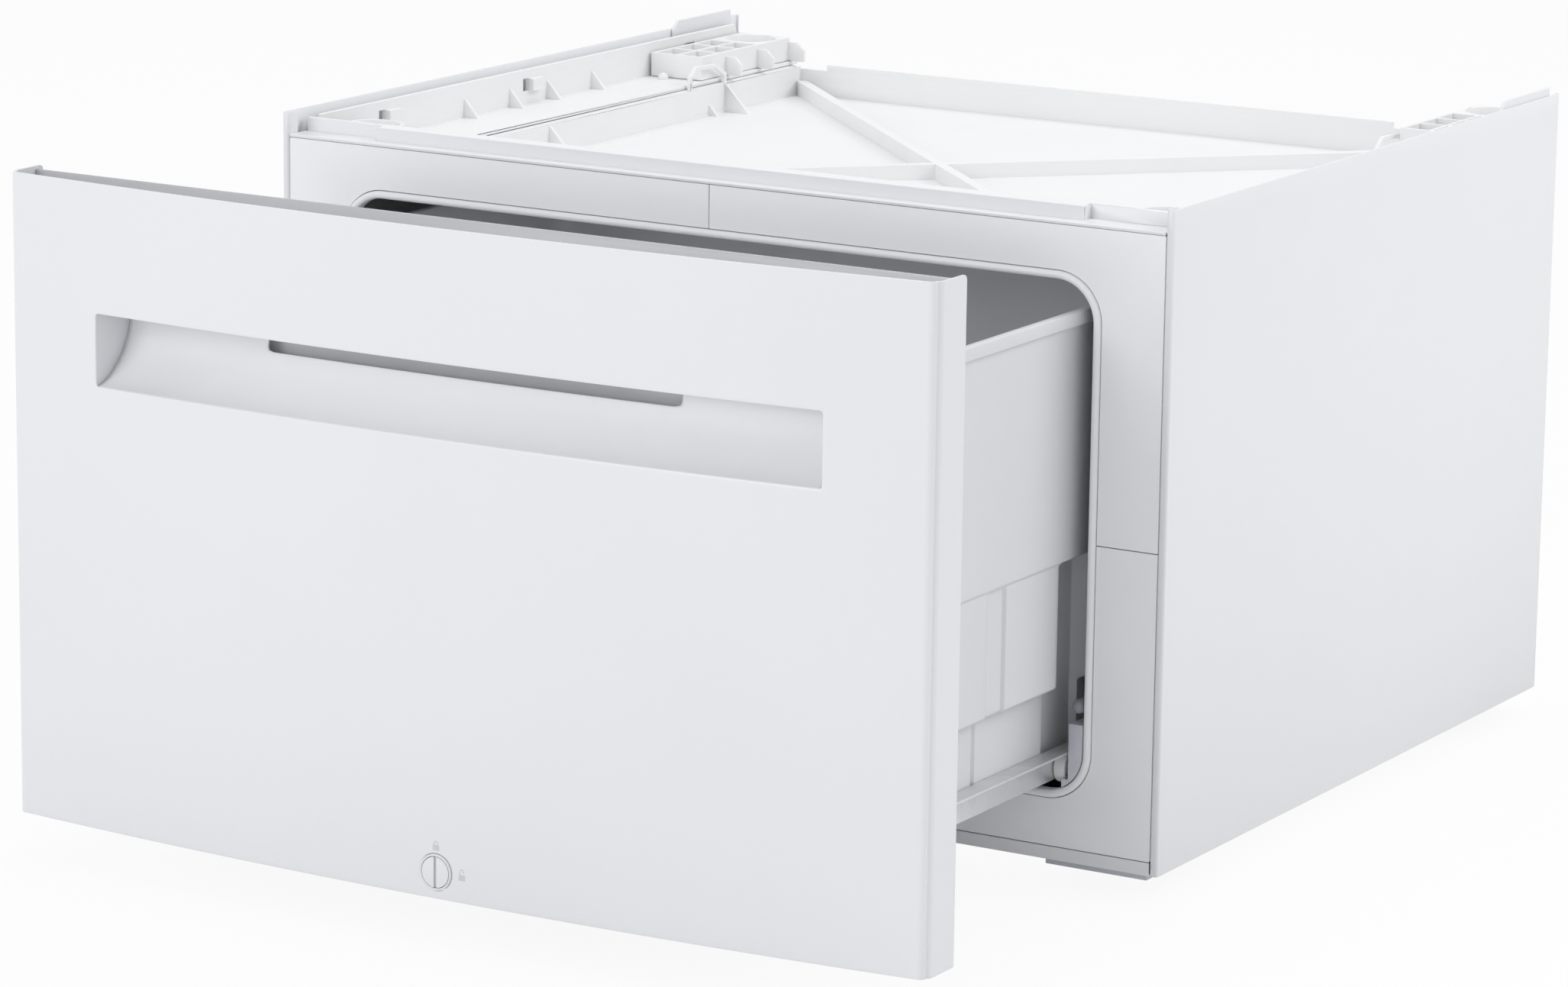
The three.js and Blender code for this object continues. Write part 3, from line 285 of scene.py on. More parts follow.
def plate(outline, axis, start, end, edge=0.4):
    """A closed outline drawn out along an axis, with both ends rounded by edge.

    The outline is in the other two axes, in their order x, y, z. Four outlines, drawn in by
    edge * (1 - sin a) at a depth of edge * (1 - cos a), make each rounded end.
    """
    angles = np.linspace(0.0, np.pi / 2, 4)
    insets = edge * (1.0 - np.sin(angles))
    depths = edge * (1.0 - np.cos(angles))
    start, end = min(start, end), max(start, end)
    rings = [(start + d, i) for d, i in zip(depths, insets)]
    rings += [(end - d, i) for d, i in zip(depths[::-1], insets[::-1])]
    return stacked([np.insert(drawn_in(outline, inset), axis, place, axis=1) for place, inset in rings])


def rounded(corners, radii, steps=5):
    """A closed polygon whose corners are turned into arcs of the given radii, where these aren't 0."""
    corners = np.array(corners, float)
    radii = np.broadcast_to(np.array(radii, float), len(corners))
    arcs = []
    neighbours = np.roll(corners, 1, 0), np.roll(corners, -1, 0)
    for corner, before, after, radius in zip(corners, *neighbours, radii):
        if radius <= 0.0:
            arcs.append(corner[None])
            continue
        back = (before - corner) / np.linalg.norm(before - corner)
        on = (after - corner) / np.linalg.norm(after - corner)
        half_angle = math.acos(np.clip(back @ on, -1.0, 1.0)) / 2.0
        reach = radius / math.tan(half_angle)
        centre = corner + (back + on) / np.linalg.norm(back + on) * radius / math.sin(half_angle)
        first, last = corner + back * reach - centre, corner + on * reach - centre
        turn = math.atan2(first[0] * last[1] - first[1] * last[0], first @ last)
        angle = np.linspace(0.0, turn, steps)[:, None]
        arcs.append(centre + first * np.cos(angle) + np.array([-first[1], first[0]]) * np.sin(angle))
    return np.vstack(arcs)


def folded(path, thickness, bend):
    """The outline of a bent sheet: its middle line offset to both sides, with round bends."""
    path = np.array(path, float)
    ahead = np.diff(path, axis=0)
    ahead /= np.linalg.norm(ahead, axis=1)[:, None]
    normal = np.stack([-ahead[:, 1], ahead[:, 0]], 1)
    first, last = np.vstack([normal[:1], normal]), np.vstack([normal, normal[-1:]])
    miter = (first + last) / (1.0 + np.sum(first * last, 1))[:, None]
    turning = ahead[:-1, 0] * ahead[1:, 1] - ahead[:-1, 1] * ahead[1:, 0]
    inner = max(bend - thickness / 2, 0.05)
    outer = bend + thickness / 2
    left = np.r_[0.0, np.where(turning > 0, inner, outer), 0.0]
    right_side = np.r_[0.0, np.where(turning > 0, outer, inner), 0.0]
    corners = np.vstack([path + miter * thickness / 2, (path - miter * thickness / 2)[::-1]])
    return rounded(corners, np.r_[left, right_side[::-1]])


def box_mm(node):
    """The lowest and highest corner of a CAD node, in millimetres."""
    low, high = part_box(node)
    return np.array(low) * 1000.0, np.array(high) * 1000.0


def painted(name, pale, shaded, roughness, peel):
    """Powder coat or paint on sheet steel.

    A slow change of tone and of gloss runs over the sheet, with the fine ripple of sprayed paint and a
    sparse grain of dust specks under the coat.
    """
    paint = Finish(name)
    slow = paint.pattern("Noise", 5.0, Detail=2.0)
    cloud = paint.pattern("Noise", 34.0, Detail=4.0)
    ripple = paint.pattern("Noise", 620.0, Detail=2.0)
    speck = 1.0 - paint.pattern("Voronoi", 260.0).between(0.03, 0.11)
    relief = (peel, 0.0002, ripple * 0.8 + speck * 0.5)
    uneven = roughness + (cloud - 0.5) * 0.12
    coat = {"Coat Weight": 0.25, "Coat Roughness": 0.18}
    return paint.surface(slow.between(0.3, 0.7), pale, shaded, uneven, relief, coat)


painted_steel = painted("painted_steel", (0.835, 0.845, 0.865), (0.82, 0.832, 0.852), 0.40, 0.08)
sheet_thickness = 1.2
sheet_bend = 1.3
fold_depth = 5.0
hem_depth = 9.0
rear_fold_depth = 14.0
rear_fold_drop = 12.0
fold_stub = 2.6
end_edge = 0.3
end_inset = 0.21

for side, s in (("left", -1), ("right", 1)):
    low, high = box_mm(f"side_panel_{side}")
    middle = sheet_thickness / 2
    outer_x = max(abs(low[0]), abs(high[0])) - middle
    front, rear = low[1] + middle, high[1] - middle
    hem_x = outer_x - fold_depth + sheet_thickness
    hem = [(s * hem_x, low[1] + hem_depth), (s * hem_x, front)]
    side_line = [(s * outer_x, front), (s * outer_x, rear)]
    # The rear fold stops short of the top, and only a stub of its bend goes on.
    full, stub = [
        folded([*hem, *side_line, (s * (outer_x + middle - reach), rear)], sheet_thickness, sheet_bend)
        for reach in (rear_fold_depth, fold_stub)
    ]
    fold_end = high[2] - rear_fold_drop
    levels = (
        (full, low[2], end_inset),
        (full, low[2] + end_edge, 0.0),
        (full, fold_end, 0.0),
        (stub, fold_end, 0.0),
        (stub, high[2] - end_edge, 0.0),
        (stub, high[2], end_inset),
    )
    sheet = stacked([np.insert(drawn_in(outline, inset), 2, z, axis=1) for outline, z, inset in levels])
    made(f"side_sheet_{side}", [sheet], painted_steel, "cabinet", [f"side_panel_{side}"], merge=0.001)

# ------------------------------------------------------------------ top rail, bottom rail, tabs, back
# Painted pieces that close the cabinet round the side panels. The top rail has a ledge over the plastic
# frame and an upright set back behind it.


rounded_turn = 38.0
hard_turn = 18.0


def softened(node, name, finish, body, width):
    """A copy of a CAD node with its doubles merged and its outer edges rounded by width.

    An outer edge that turns by more than rounded_turn degrees is rounded, and one that still turns by
    more than hard_turn keeps a hard shade, so that flat faces stay flat.
    """
    mesh = bpy.data.meshes.new(name)
    solid = bmesh.new()
    solid.from_mesh(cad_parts[node].data)
    bmesh.ops.remove_doubles(solid, verts=solid.verts, dist=1e-6)
    bmesh.ops.recalc_face_normals(solid, faces=solid.faces)
    limit = math.radians(rounded_turn)
    bmesh.ops.bevel(
        solid,
        geom=[edge for edge in solid.edges if edge.is_convex and edge.calc_face_angle(0.0) > limit],
        offset=width * 0.001,
        offset_type="OFFSET",
        segments=2,
        profile=0.5,
        affect="EDGES",
        clamp_overlap=False,
        miter_outer="ARC",
    )
    bmesh.ops.recalc_face_normals(solid, faces=solid.faces)
    solid.to_mesh(mesh)
    solid.free()
    return shown(mesh, name, finish, body, [node], hard_turn)


softened("front_top_rail", "top_rail", painted_steel, "cabinet", 0.5)
softened("front_bottom_rail", "bottom_rail", painted_steel, "cabinet", 0.4)
softened("back_panel", "back_sheet", painted_steel, "cabinet", 0.4)
for side in ("left", "right"):
    softened(f"rear_upstand_tab_{side}", f"upstand_tab_{side}", painted_steel, "cabinet", 0.5)

# ------------------------------------------------------------------ front frame and rim
# Four L-shaped mouldings of satin plastic meet at hairline seams round the drawer's mouth. A rounded
# bead of the same plastic lines the mouth, in front of a thin flange that lies behind the frame.


def moulded(name, pale, shaded, roughness, grain, grain_size=900.0, gloss=0.5):
    """Moulded plastic, with fine spark-eroded grain and slow flow marks."""
    plastic = Finish(name)
    flow = plastic.pattern("Noise", 7.0, Detail=3.0, Distortion=0.6)
    cloud = plastic.pattern("Noise", 60.0, Detail=3.0)
    fine = plastic.pattern("Noise", grain_size, Detail=3.0)
    pits = plastic.pattern("Voronoi", grain_size * 1.4)
    relief = (grain, 0.00015, fine * 0.7 + pits * 0.5)
    uneven = roughness + (cloud - 0.5) * 0.1
    return plastic.surface(
        flow.between(0.3, 0.7), pale, shaded, uneven, relief, {"Specular IOR Level": gloss}
    )


frame_plastic = moulded("frame_plastic", (0.935, 0.945, 0.965), (0.92, 0.93, 0.952), 0.42, 0.12)
rim_plastic = moulded("rim_plastic", (0.90, 0.91, 0.93), (0.89, 0.90, 0.92), 0.34, 0.05)
rim_plastic.slot = "frame_plastic"

frame_low, frame_high = box_mm("front_frame_lower_left")
upper_low, upper_high = box_mm("front_frame_upper_right")
rim_low, rim_high = box_mm("opening_rim")
rim_flange = 3.5
rim_width = 4.5
rim_radius = 28.0
shadow_gap = 0.5
rim_half = rim_high[0] - rim_flange
rim_bottom = rim_low[2] + rim_flange
rim_top = rim_high[2] - rim_flange
cut_half = rim_half + shadow_gap
cut_bottom, cut_top = rim_bottom - shadow_gap, rim_top + shadow_gap
cut_radius = rim_radius + shadow_gap
seam_x = upper_low[0]
cam_clearance = 2.0
cam_slot_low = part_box("lock_cam")[0][0] * 1000.0 - cam_clearance
cam_slot_high = 6.0
cam_slot_half = 6.0
lock_z = (box_mm("lock_knob")[0][2] + box_mm("lock_knob")[1][2]) / 2
corner_steps = 18
face_edge = 0.3
seam_corner = 0.35
cam_slot_corner = 0.6
outer_corner = 0.9

for side, s in (("left", -1), ("right", 1)):
    outer = s * upper_high[0]
    seam = s * seam_x
    cam_slot_end = cam_slot_low if s < 0 else cam_slot_high
    for half, low, high, edge_z, joint_z, cut_z in (
        ("upper", upper_low, upper_high, upper_high[2], upper_low[2], cut_top),
        ("lower", frame_low, frame_high, frame_low[2], frame_high[2], cut_bottom),
    ):
        corners = [
            (seam, edge_z, seam_corner),
            (outer, edge_z, outer_corner),
            (outer, joint_z, seam_corner),
            (s * cut_half, joint_z, seam_corner),
            (s * cut_half, cut_z, cut_radius),
            (seam, cut_z, seam_corner),
        ]
        if half == "lower":
            corners += [
                (seam, lock_z + cam_slot_half, seam_corner),
                (cam_slot_end, lock_z + cam_slot_half, cam_slot_corner),
                (cam_slot_end, lock_z - cam_slot_half, cam_slot_corner),
                (seam, lock_z - cam_slot_half, seam_corner),
            ]
        corners = np.array(corners)
        outline = rounded(corners[:, :2], corners[:, 2], corner_steps)
        quarter = plate(outline, 1, low[1], high[1], face_edge)
        replaced = [f"front_frame_{half}_{side}"]
        made(f"frame_quarter_{half}_{side}", [quarter], frame_plastic, "cabinet", replaced)


def carried_round(section, half, bottom, top, radius, steps=20):
    """A closed section of (outward, y) pairs carried round the drawer's mouth, a rectangle with round
    corners, as a grid of path by section."""
    path = rounded([(-half, bottom), (half, bottom), (half, top), (-half, top)], radius, steps)
    centre_x = np.clip(path[:, 0], radius - half, half - radius)
    centre_z = np.clip(path[:, 1], bottom + radius, top - radius)
    outward = path - np.stack([centre_x, centre_z], 1)
    outward /= np.linalg.norm(outward, axis=1)[:, None]
    section = np.array(section)
    xz = path[:, None] + outward[:, None] * section[None, :, :1]
    y = np.broadcast_to(section[None, :, 1:], (*xz.shape[:2], 1))
    return skin(np.concatenate([xz[..., :1], y, xz[..., 1:]], -1), True, True)


flange_front = frame_high[1] + 0.3
nose = np.linspace(-np.pi / 2, np.pi / 2, 11)[1:-1]
nose_radius = rim_width / 2
nose_start = rim_low[1] + nose_radius
bead_section = np.vstack(
    [
        [(-rim_width, rim_high[1]), (-rim_width, nose_start)],
        np.stack([nose_radius * np.sin(nose) - nose_radius, nose_start - nose_radius * np.cos(nose)], 1),
        [(0.0, nose_start), (0.0, flange_front), (rim_flange, flange_front), (rim_flange, rim_high[1])],
    ]
)
bead = carried_round(bead_section, rim_half, rim_bottom, rim_top, rim_radius)
made("mouth_rim", [bead], rim_plastic, "cabinet", ["opening_rim"])

# ------------------------------------------------------------------ drawer front
# One bowed sheet of painted steel with side flanges, rounded at their upper rear corners, a long
# window for the grip and a round hole for the lock.


def sheet_with_holes(across, upright, holes):
    """A flat sheet on two rising arrays of grid lines, as 2-D points and faces, with shaped holes.

    A hole is (first and last line across, first and last line up, half sizes of the hole, its corner
    radius). Its block of cells gives way to rings from the block's edge to the hole's edge: an edge
    point of the block is scaled to the hole's rectangle, and where it lies in a corner it is drawn onto
    the corner's arc.
    """
    grid = np.stack(np.meshgrid(across, upright, indexing="ij"), -1)
    number = np.arange(grid.shape[0] * grid.shape[1]).reshape(grid.shape[:2])
    kept = np.ones((len(across) - 1, len(upright) - 1), bool)
    parts = []
    for left, right_line, bottom, top, hole_half, radius in holes:
        kept[left:right_line, bottom:top] = False
        block = grid[left : right_line + 1, bottom : top + 1]
        edge = np.vstack([block[:-1, 0], block[-1, :-1], block[:0:-1, -1], block[0, :0:-1]])
        middle = (block[0, 0] + block[-1, -1]) / 2
        sized = (edge - middle) / (block[-1, -1] - middle) * hole_half
        core = np.clip(sized, radius - np.array(hole_half), np.array(hole_half) - radius)
        out = sized - core
        length = np.maximum(np.linalg.norm(out, axis=1), 1e-9)[:, None]
        hole_edge = core + out / length * radius if radius else sized
        share = np.linspace(0.0, 1.0, 6)[:, None, None]
        rings = edge[None] * (1 - share) + (middle + hole_edge)[None] * share
        parts.append(skin(np.insert(rings, 2, 0.0, axis=2), around_second=True))
    cells = np.stack([number[:-1, :-1], number[1:, :-1], number[1:, 1:], number[:-1, 1:]], -1)[kept]
    flat = np.insert(grid.reshape(-1, 2), 2, 0.0, axis=1)
    return [(flat, cells.tolist()), *parts]


front_paint = painted("front_paint", (0.79, 0.80, 0.82), (0.776, 0.788, 0.81), 0.34, 0.06)

shell_low, shell_high = box_mm("drawer_front_shell")
grip_low = box_mm("handle_grip")[0]
shell_half = shell_high[0]
face_bow = 15.0
shell_gauge = 1.5
edge_radius = 6.0
flange_corner = 3.0
cut_edge = 0.2
edge_groove = 1.5
edge_groove_half_width = 1.8
edge_groove_place = 6.6
grip_half = 235.0
grip_bottom = grip_low[2] + 1.8
grip_height = 41.5
lock_hole = 10.65
edge_arc = edge_radius * np.pi / 2
face_reach = shell_half - edge_radius
flange_start = shell_low[1] + face_bow * (face_reach / shell_half) ** 2 + edge_radius
flange_length = shell_high[1] - flange_start


def face_y(x):
    """How far forward the bowed face stands at x: a parabola, foremost in the middle."""
    return shell_low[1] + face_bow * (x / shell_half) ** 2


def wrapped(run):
    """Where the sheet lies at a run along it from its middle, as x and y: face, round edge, flange.

    A shallow groove runs down each round edge, where the bend's radius dips by a bell curve.
    """
    length = np.abs(run)
    face = np.minimum(length, face_reach)
    turn = np.clip((length - face_reach) / edge_radius, 0.0, np.pi / 2)
    back = np.maximum(length - face_reach - edge_arc, 0.0)
    past_groove = (length - face_reach - edge_groove_place) / edge_groove_half_width
    groove = edge_groove * np.exp(-(past_groove**2))
    radius = edge_radius - groove
    x = face + radius * np.sin(turn)
    y = face_y(face) + edge_radius - radius * np.cos(turn) + back
    return np.stack([np.sign(run) * x, y], -1)


def lines(*stops):
    """Grid lines through stops of (place, how many steps lead to it); the first count isn't used."""
    runs = [np.linspace(a[0], b[0], b[1] + 1)[1:] for a, b in zip(stops, stops[1:])]
    return np.concatenate([[stops[0][0]], *runs])


# Grid lines cluster at the edges of the window and the lock's hole, at the round edges and at corners.
block_edge = 12.0
dense_edge = 4.0
lock_block = 15.0
flange_dense = 3.0
flange_end = face_reach + edge_arc + flange_length
half_run = lines(
    (0.0, 0),
    (lock_block, 6),
    (grip_half + block_edge - dense_edge, 26),
    (grip_half + block_edge, 8),
    (face_reach, 8),
    (face_reach + edge_arc, 16),
    (face_reach + edge_arc + flange_dense, 6),
    (flange_end - flange_corner, 6),
    (flange_end, 8),
)
run_lines = np.concatenate([-half_run[:0:-1], half_run])
shell_bottom, shell_top = shell_low[2], shell_high[2]
grip_middle = grip_bottom + grip_height / 2
window_half = grip_height / 2
block_low = grip_middle - window_half - block_edge
block_high = grip_middle + window_half + block_edge
rise_lines = lines(
    (shell_bottom, 0),
    (lock_z, 6),
    (lock_z + lock_block, 6),
    (block_low, 12),
    (block_low + dense_edge, 6),
    (block_high - dense_edge, 8),
    (block_high, 6),
    (shell_top - flange_corner, 6),
    (shell_top, 8),
)


def lines_at(values, *places):
    """The number of the grid line nearest to each place."""
    return [int(np.argmin(np.abs(values - place))) for place in places]


lock_span = lines_at(run_lines, -lock_block, lock_block)
lock_span += lines_at(rise_lines, shell_bottom, lock_z + lock_block)
window_span = lines_at(run_lines, -grip_half - block_edge, grip_half + block_edge)
window_span += lines_at(rise_lines, block_low, block_high)
window_corner = 2.0
lock_opening = (*lock_span, (lock_hole, lock_hole), lock_hole)
window = (*window_span, (grip_half, window_half), window_corner)
flat_front = sheet_with_holes(run_lines, rise_lines, [lock_opening, window])


def flange_rounded(points):
    """Draws the flanges' upper rear corners onto an arc: a point in the corner's square moves along
    its ray from the arc's centre, so that the square becomes a quarter disc."""
    centre = np.array([flange_end - flange_corner, shell_top - flange_corner])
    out = np.stack([np.abs(points[:, 0]), points[:, 1]], 1) - centre
    inside = (out > 0).all(1)
    square = np.max(np.abs(out), axis=1)
    circle = np.maximum(np.linalg.norm(out, axis=1), 1e-9)
    on_arc = centre + out * (square / circle)[:, None]
    on_arc[:, 0] *= np.sign(points[:, 0])
    return np.where(inside[:, None], on_arc, points)


front_skin = []
for points, faces in flat_front:
    flat = flange_rounded(points[:, :2])
    front_skin.append((np.column_stack([wrapped(flat[:, 0]), flat[:, 1]]), faces))


def thickened(piece, gauge, edge=0.0, offset=-1.0, even=True):
    """Gives a sheet its gauge with Solidify, and rounds its cut edges."""
    wall = piece.modifiers.new("gauge", "SOLIDIFY")
    wall.thickness = gauge * 0.001
    wall.offset = offset
    wall.use_even_offset = even
    if edge:
        bevel = piece.modifiers.new("cut edges", "BEVEL")
        bevel.width = edge * 0.001
        bevel.segments = 2
        bevel.limit_method = "ANGLE"
        bevel.angle_limit = math.radians(50.0)
        bevel.use_clamp_overlap = False
        bevel.harden_normals = False
    return piece


front_shell = made("bowed_front", front_skin, front_paint, "drawer", ["drawer_front_shell"], merge=0.01)
thickened(front_shell, shell_gauge, cut_edge)

# ------------------------------------------------------------------ inner panel
# A flat sheet of grey coil-coated steel behind the bowed front, with fine drawn streaks. The gutter
# between the two shows from above.

streak = (8.0, 8.0, 420.0)
grey_coat = Finish("grey_coat")
grey_coat.slot = "inner_panel_steel"
coat_place = grey_coat.node("TexCoord", out="Object")
stretched = grey_coat.node("Mapping", inputs={"Vector": coat_place, "Scale": streak})
drawn = grey_coat.node("TexNoise", inputs={"Vector": stretched, "Scale": 1.0, "Detail": 4.0})
coat_share = (grey_coat.pattern("Noise", 9.0, Detail=3.0) * 0.6 + drawn * 0.4).between(0.3, 0.7)
coat_pale, coat_dark = (0.47, 0.475, 0.49), (0.445, 0.45, 0.465)
coat_gloss = 0.42 + (drawn - 0.5) * 0.15
grey_coat.surface(coat_share, coat_pale, coat_dark, coat_gloss, (0.06, 0.0001, drawn), {"Metallic": 0.25})
inner_panel = softened("drawer_inner_panel", "inner_panel", grey_coat, "drawer", 0.35)

# Near its upper edge the sheet is joggled back, almost to the rear edges of the front's flanges.
joggle = 7.5
joggle_start, joggle_end = 18.0, 11.0
panel_top = box_mm("drawer_inner_panel")[1][2]
stepped = bmesh.new()
stepped.from_mesh(inner_panel.data)
for drop in (joggle_start, joggle_end):
    whole = stepped.verts[:] + stepped.edges[:] + stepped.faces[:]
    height = (0.0, 0.0, (panel_top - drop) * 0.001)
    bmesh.ops.bisect_plane(stepped, geom=whole, dist=1e-7, plane_co=height, plane_no=(0.0, 0.0, 1.0))
for vertex in stepped.verts:
    if vertex.co.z > (panel_top - joggle_end - 0.1) * 0.001:
        vertex.co.y += joggle * 0.001
stepped.to_mesh(inner_panel.data)
stepped.free()
inner_panel.data.shade_smooth()
inner_panel.data.set_sharp_from_angle(angle=math.radians(hard_turn))

# ------------------------------------------------------------------ grip
# A long moulded insert in the window, painted to match. Its scoop deepens from the lower lip to a back
# wall, and runs up behind the upper lip, where the fingers hook in.

grip_finish = moulded("grip_finish", (0.83, 0.84, 0.86), (0.82, 0.83, 0.85), 0.33, 0.05)
grip_finish.slot = "front_paint"
grip_depth = 31.0
mouth_depth = 0.5
grip_lip = 3.6
grip_hook = 14.0
hook_radius = 5.0
grip_gauge = 1.2
seam_step = 0.12
scoop_share = 0.86
depth_power = 1.05
height_power = 0.8
grip_top = grip_bottom + grip_height
hook_top = grip_top + grip_hook

# The section runs up the scoop, over the hook behind the upper lip, and down to the mouth's upper edge.
scoop_turn = np.linspace(0.0, np.pi / 2, 25)
scoop_depth = mouth_depth + (grip_depth - mouth_depth) * np.sin(scoop_turn) ** depth_power
scoop_rise = grip_height * scoop_share * (1 - np.cos(scoop_turn)) ** height_power
hook_turn = np.linspace(0.0, np.pi / 2, 7)
hook_z = hook_top - hook_radius
hook_cos, hook_sin = hook_radius * np.cos(hook_turn), hook_radius * np.sin(hook_turn)
section = np.vstack(
    [
        np.stack([scoop_depth, grip_bottom + seam_step + scoop_rise], 1),
        np.stack([grip_depth - hook_radius + hook_cos, hook_z + hook_sin], 1),
        np.stack([grip_lip + hook_radius - hook_sin, hook_z + hook_cos], 1),
        [(grip_lip, grip_top + 1.0), (grip_lip - 0.6, grip_top + 0.2), (mouth_depth, grip_top - seam_step)],
    ]
)
section_steps = np.linalg.norm(np.diff(section, axis=0), axis=1)
section_run = np.concatenate([[0.0], np.cumsum(section_steps)])

# The slot that the fingers hook into is cut through the upper scoop and the back wall.
slot_half = 134.5
slot_bottom = grip_bottom + 29.3
slot_rim = 6.0
upper_rim = slot_rim * 0.7
slot_round = 3.0
slot_start = np.interp(slot_bottom, section[:25, 1], section_run[:25])
slot_end = section_run[25] - 1.0
rim_x = slot_half + slot_rim
rim_start, rim_end = slot_start - slot_rim, slot_end + upper_rim
grip_across = lines((-grip_half, 0), (-rim_x, 24), (rim_x, 64), (grip_half, 24))
grip_upright = lines((0.0, 0), (rim_start, 26), (rim_end, 16), (section_run[-1], 20))
slot_lines = lines_at(grip_across, -rim_x, rim_x) + lines_at(grip_upright, rim_start, rim_end)
slot_size = (slot_half, (slot_end - slot_start + slot_rim - upper_rim) / 2)
flat_grip = sheet_with_holes(grip_across, grip_upright, [(*slot_lines, slot_size, slot_round)])


def scooped(flat):
    """A flat point (x, run along the section) laid on the scoop behind the bowed front."""
    depth = np.interp(flat[:, 1], section_run, section[:, 0])
    z = np.interp(flat[:, 1], section_run, section[:, 1])
    return np.column_stack([flat[:, 0], face_y(flat[:, 0]) + depth, z])


grip_skin = [(scooped(points[:, :2]), faces) for points, faces in flat_grip]
grip = made("scooped_grip", grip_skin, grip_finish, "drawer", ["handle_grip"], merge=0.005, crease=50.0)
thickened(grip, grip_gauge, offset=1.0, even=False)
end_outline = section + [float(face_y(grip_half)), 0.0]
for side, s in (("left", -1), ("right", 1)):
    end_plate = plate(end_outline, 0, s * (grip_half - 0.2), s * (grip_half + 1.4), 0.1)
    made(f"grip_end_{side}", [end_plate], grip_finish, "drawer")

# ------------------------------------------------------------------ drawer tub
# A deep moulded tub of pale grey plastic. Its sides have a plain upper band and upright pockets below it,
# and step in towards the bottom to clear the runners. A bead stiffens its mouth.

tub_plastic = moulded("tub_plastic", (0.745, 0.755, 0.777), (0.725, 0.735, 0.758), 0.32, 0.10)
tub_low, tub_high = box_mm("drawer_tub")
tub_wall = 2.5
bead_height = 8.0
bead_proud = 3.0
tub_front = box_mm("drawer_rail_left")[0][1] + 10.9
tub_rear = tub_high[1]
tub_top = tub_high[2]
tub_bottom = tub_low[2]
tub_high_half = tub_high[0] - bead_proud
band_proud = 1.5
step_depth = 9.1
tub_corner = 14.0
step_bottom, step_top = tub_bottom + 52.0, tub_bottom + 58.0
band_bottom = tub_top - 142.0
band_low, band_high = band_bottom - 2.0, band_bottom + 2.0
pocket_first = 60.0
pocket_pitch = 82.0
pocket_width = 20.0
pocket_depth = 2.0
tall_width = 40.0
tall_depth = 4.5
tall_floor = tub_high_half - band_proud - step_depth - tall_depth
groove_width = 3.4
groove_depth = 1.6
foot_rise = 10.0
floor_fillet = 6.0

# The loop runs round the tub; the height lines cluster where its side steps, and at pocket edges.
pocket_widths = [pocket_width, pocket_width, tall_width, pocket_width, pocket_width]
pockets = [(pocket_first + k * pocket_pitch, width) for k, width in enumerate(pocket_widths)]
edge_lines = np.array([-1.6, -0.8, 0.0, 0.8, 1.6])
groove_lines = np.array([-0.6, 0.0, 0.6])
tub_length = tub_rear - tub_front
side_places = [np.linspace(tub_corner, tub_length - tub_corner, 60)]
for start, width in pockets:
    side_places += [start + edge_lines, start + width + edge_lines, start + groove_width + groove_lines]
side_places = np.unique(np.concatenate(side_places))
corner_turn = np.linspace(0.0, np.pi / 2, 8)[1:-1]
height_lines = np.concatenate(
    [
        lines((tub_bottom + floor_fillet, 0), (tub_bottom + foot_rise + 3.0, 7), (step_bottom - 2.0, 6)),
        lines((step_bottom - 1.0, 0), (step_bottom, 2), (step_top, 6), (step_top + 2.0, 3)),
        lines((step_top + 3.5, 0), (step_top + 5.0, 2), (band_bottom - 5.0, 12)),
        lines((band_low - 1.5, 0), (band_low, 2), (band_high, 6), (band_high + 2.0, 2)),
        lines((band_bottom + 8.0, 0), (tub_top - bead_height - 5.0, 14), (tub_top - bead_height - 0.4, 6)),
    ]
)


def smooth(value, low, high):
    """0 below low, 1 above high, and 3 t^2 - 2 t^3 between."""
    t = np.clip((value - low) / (high - low), 0.0, 1.0)
    return t * t * (3.0 - 2.0 * t)


def spanned(value, start, end, slope):
    """1 from start to end and 0 outside, with a rise and a fall twice slope wide."""
    return smooth(value, start - slope, start + slope) * (1.0 - smooth(value, end - slope, end + slope))


def side_reach(place, z):
    """The tub's half-width at a place along its side and a height.

    The side steps in below its band and pockets. The middle pocket runs down past the step to the
    foot, and a narrow groove does so from the front edge of each of the others.
    """
    reach = tub_high_half - band_proud * (1.0 - smooth(z, band_bottom - 1.0, band_bottom + 1.0))
    reach = reach - step_depth * (1.0 - smooth(z, step_bottom, step_top))
    above_step = smooth(z, step_bottom - 0.5, step_top)
    above_foot = smooth(z, tub_bottom + foot_rise - 1.5, tub_bottom + foot_rise + 1.5)
    under_band = 1.0 - smooth(z, band_bottom - 3.0, band_bottom + 0.5)
    for start, width in pockets:
        along = spanned(place, start, start + width, 1.0)
        if width == tall_width:
            reach = reach + (tall_floor - reach) * along * under_band * above_foot
        else:
            narrow = spanned(place, start, start + groove_width, 0.5)
            reach = reach - pocket_depth * along * under_band * above_step
            reach = reach - groove_depth * narrow * above_foot * (1.0 - above_step)
    return reach


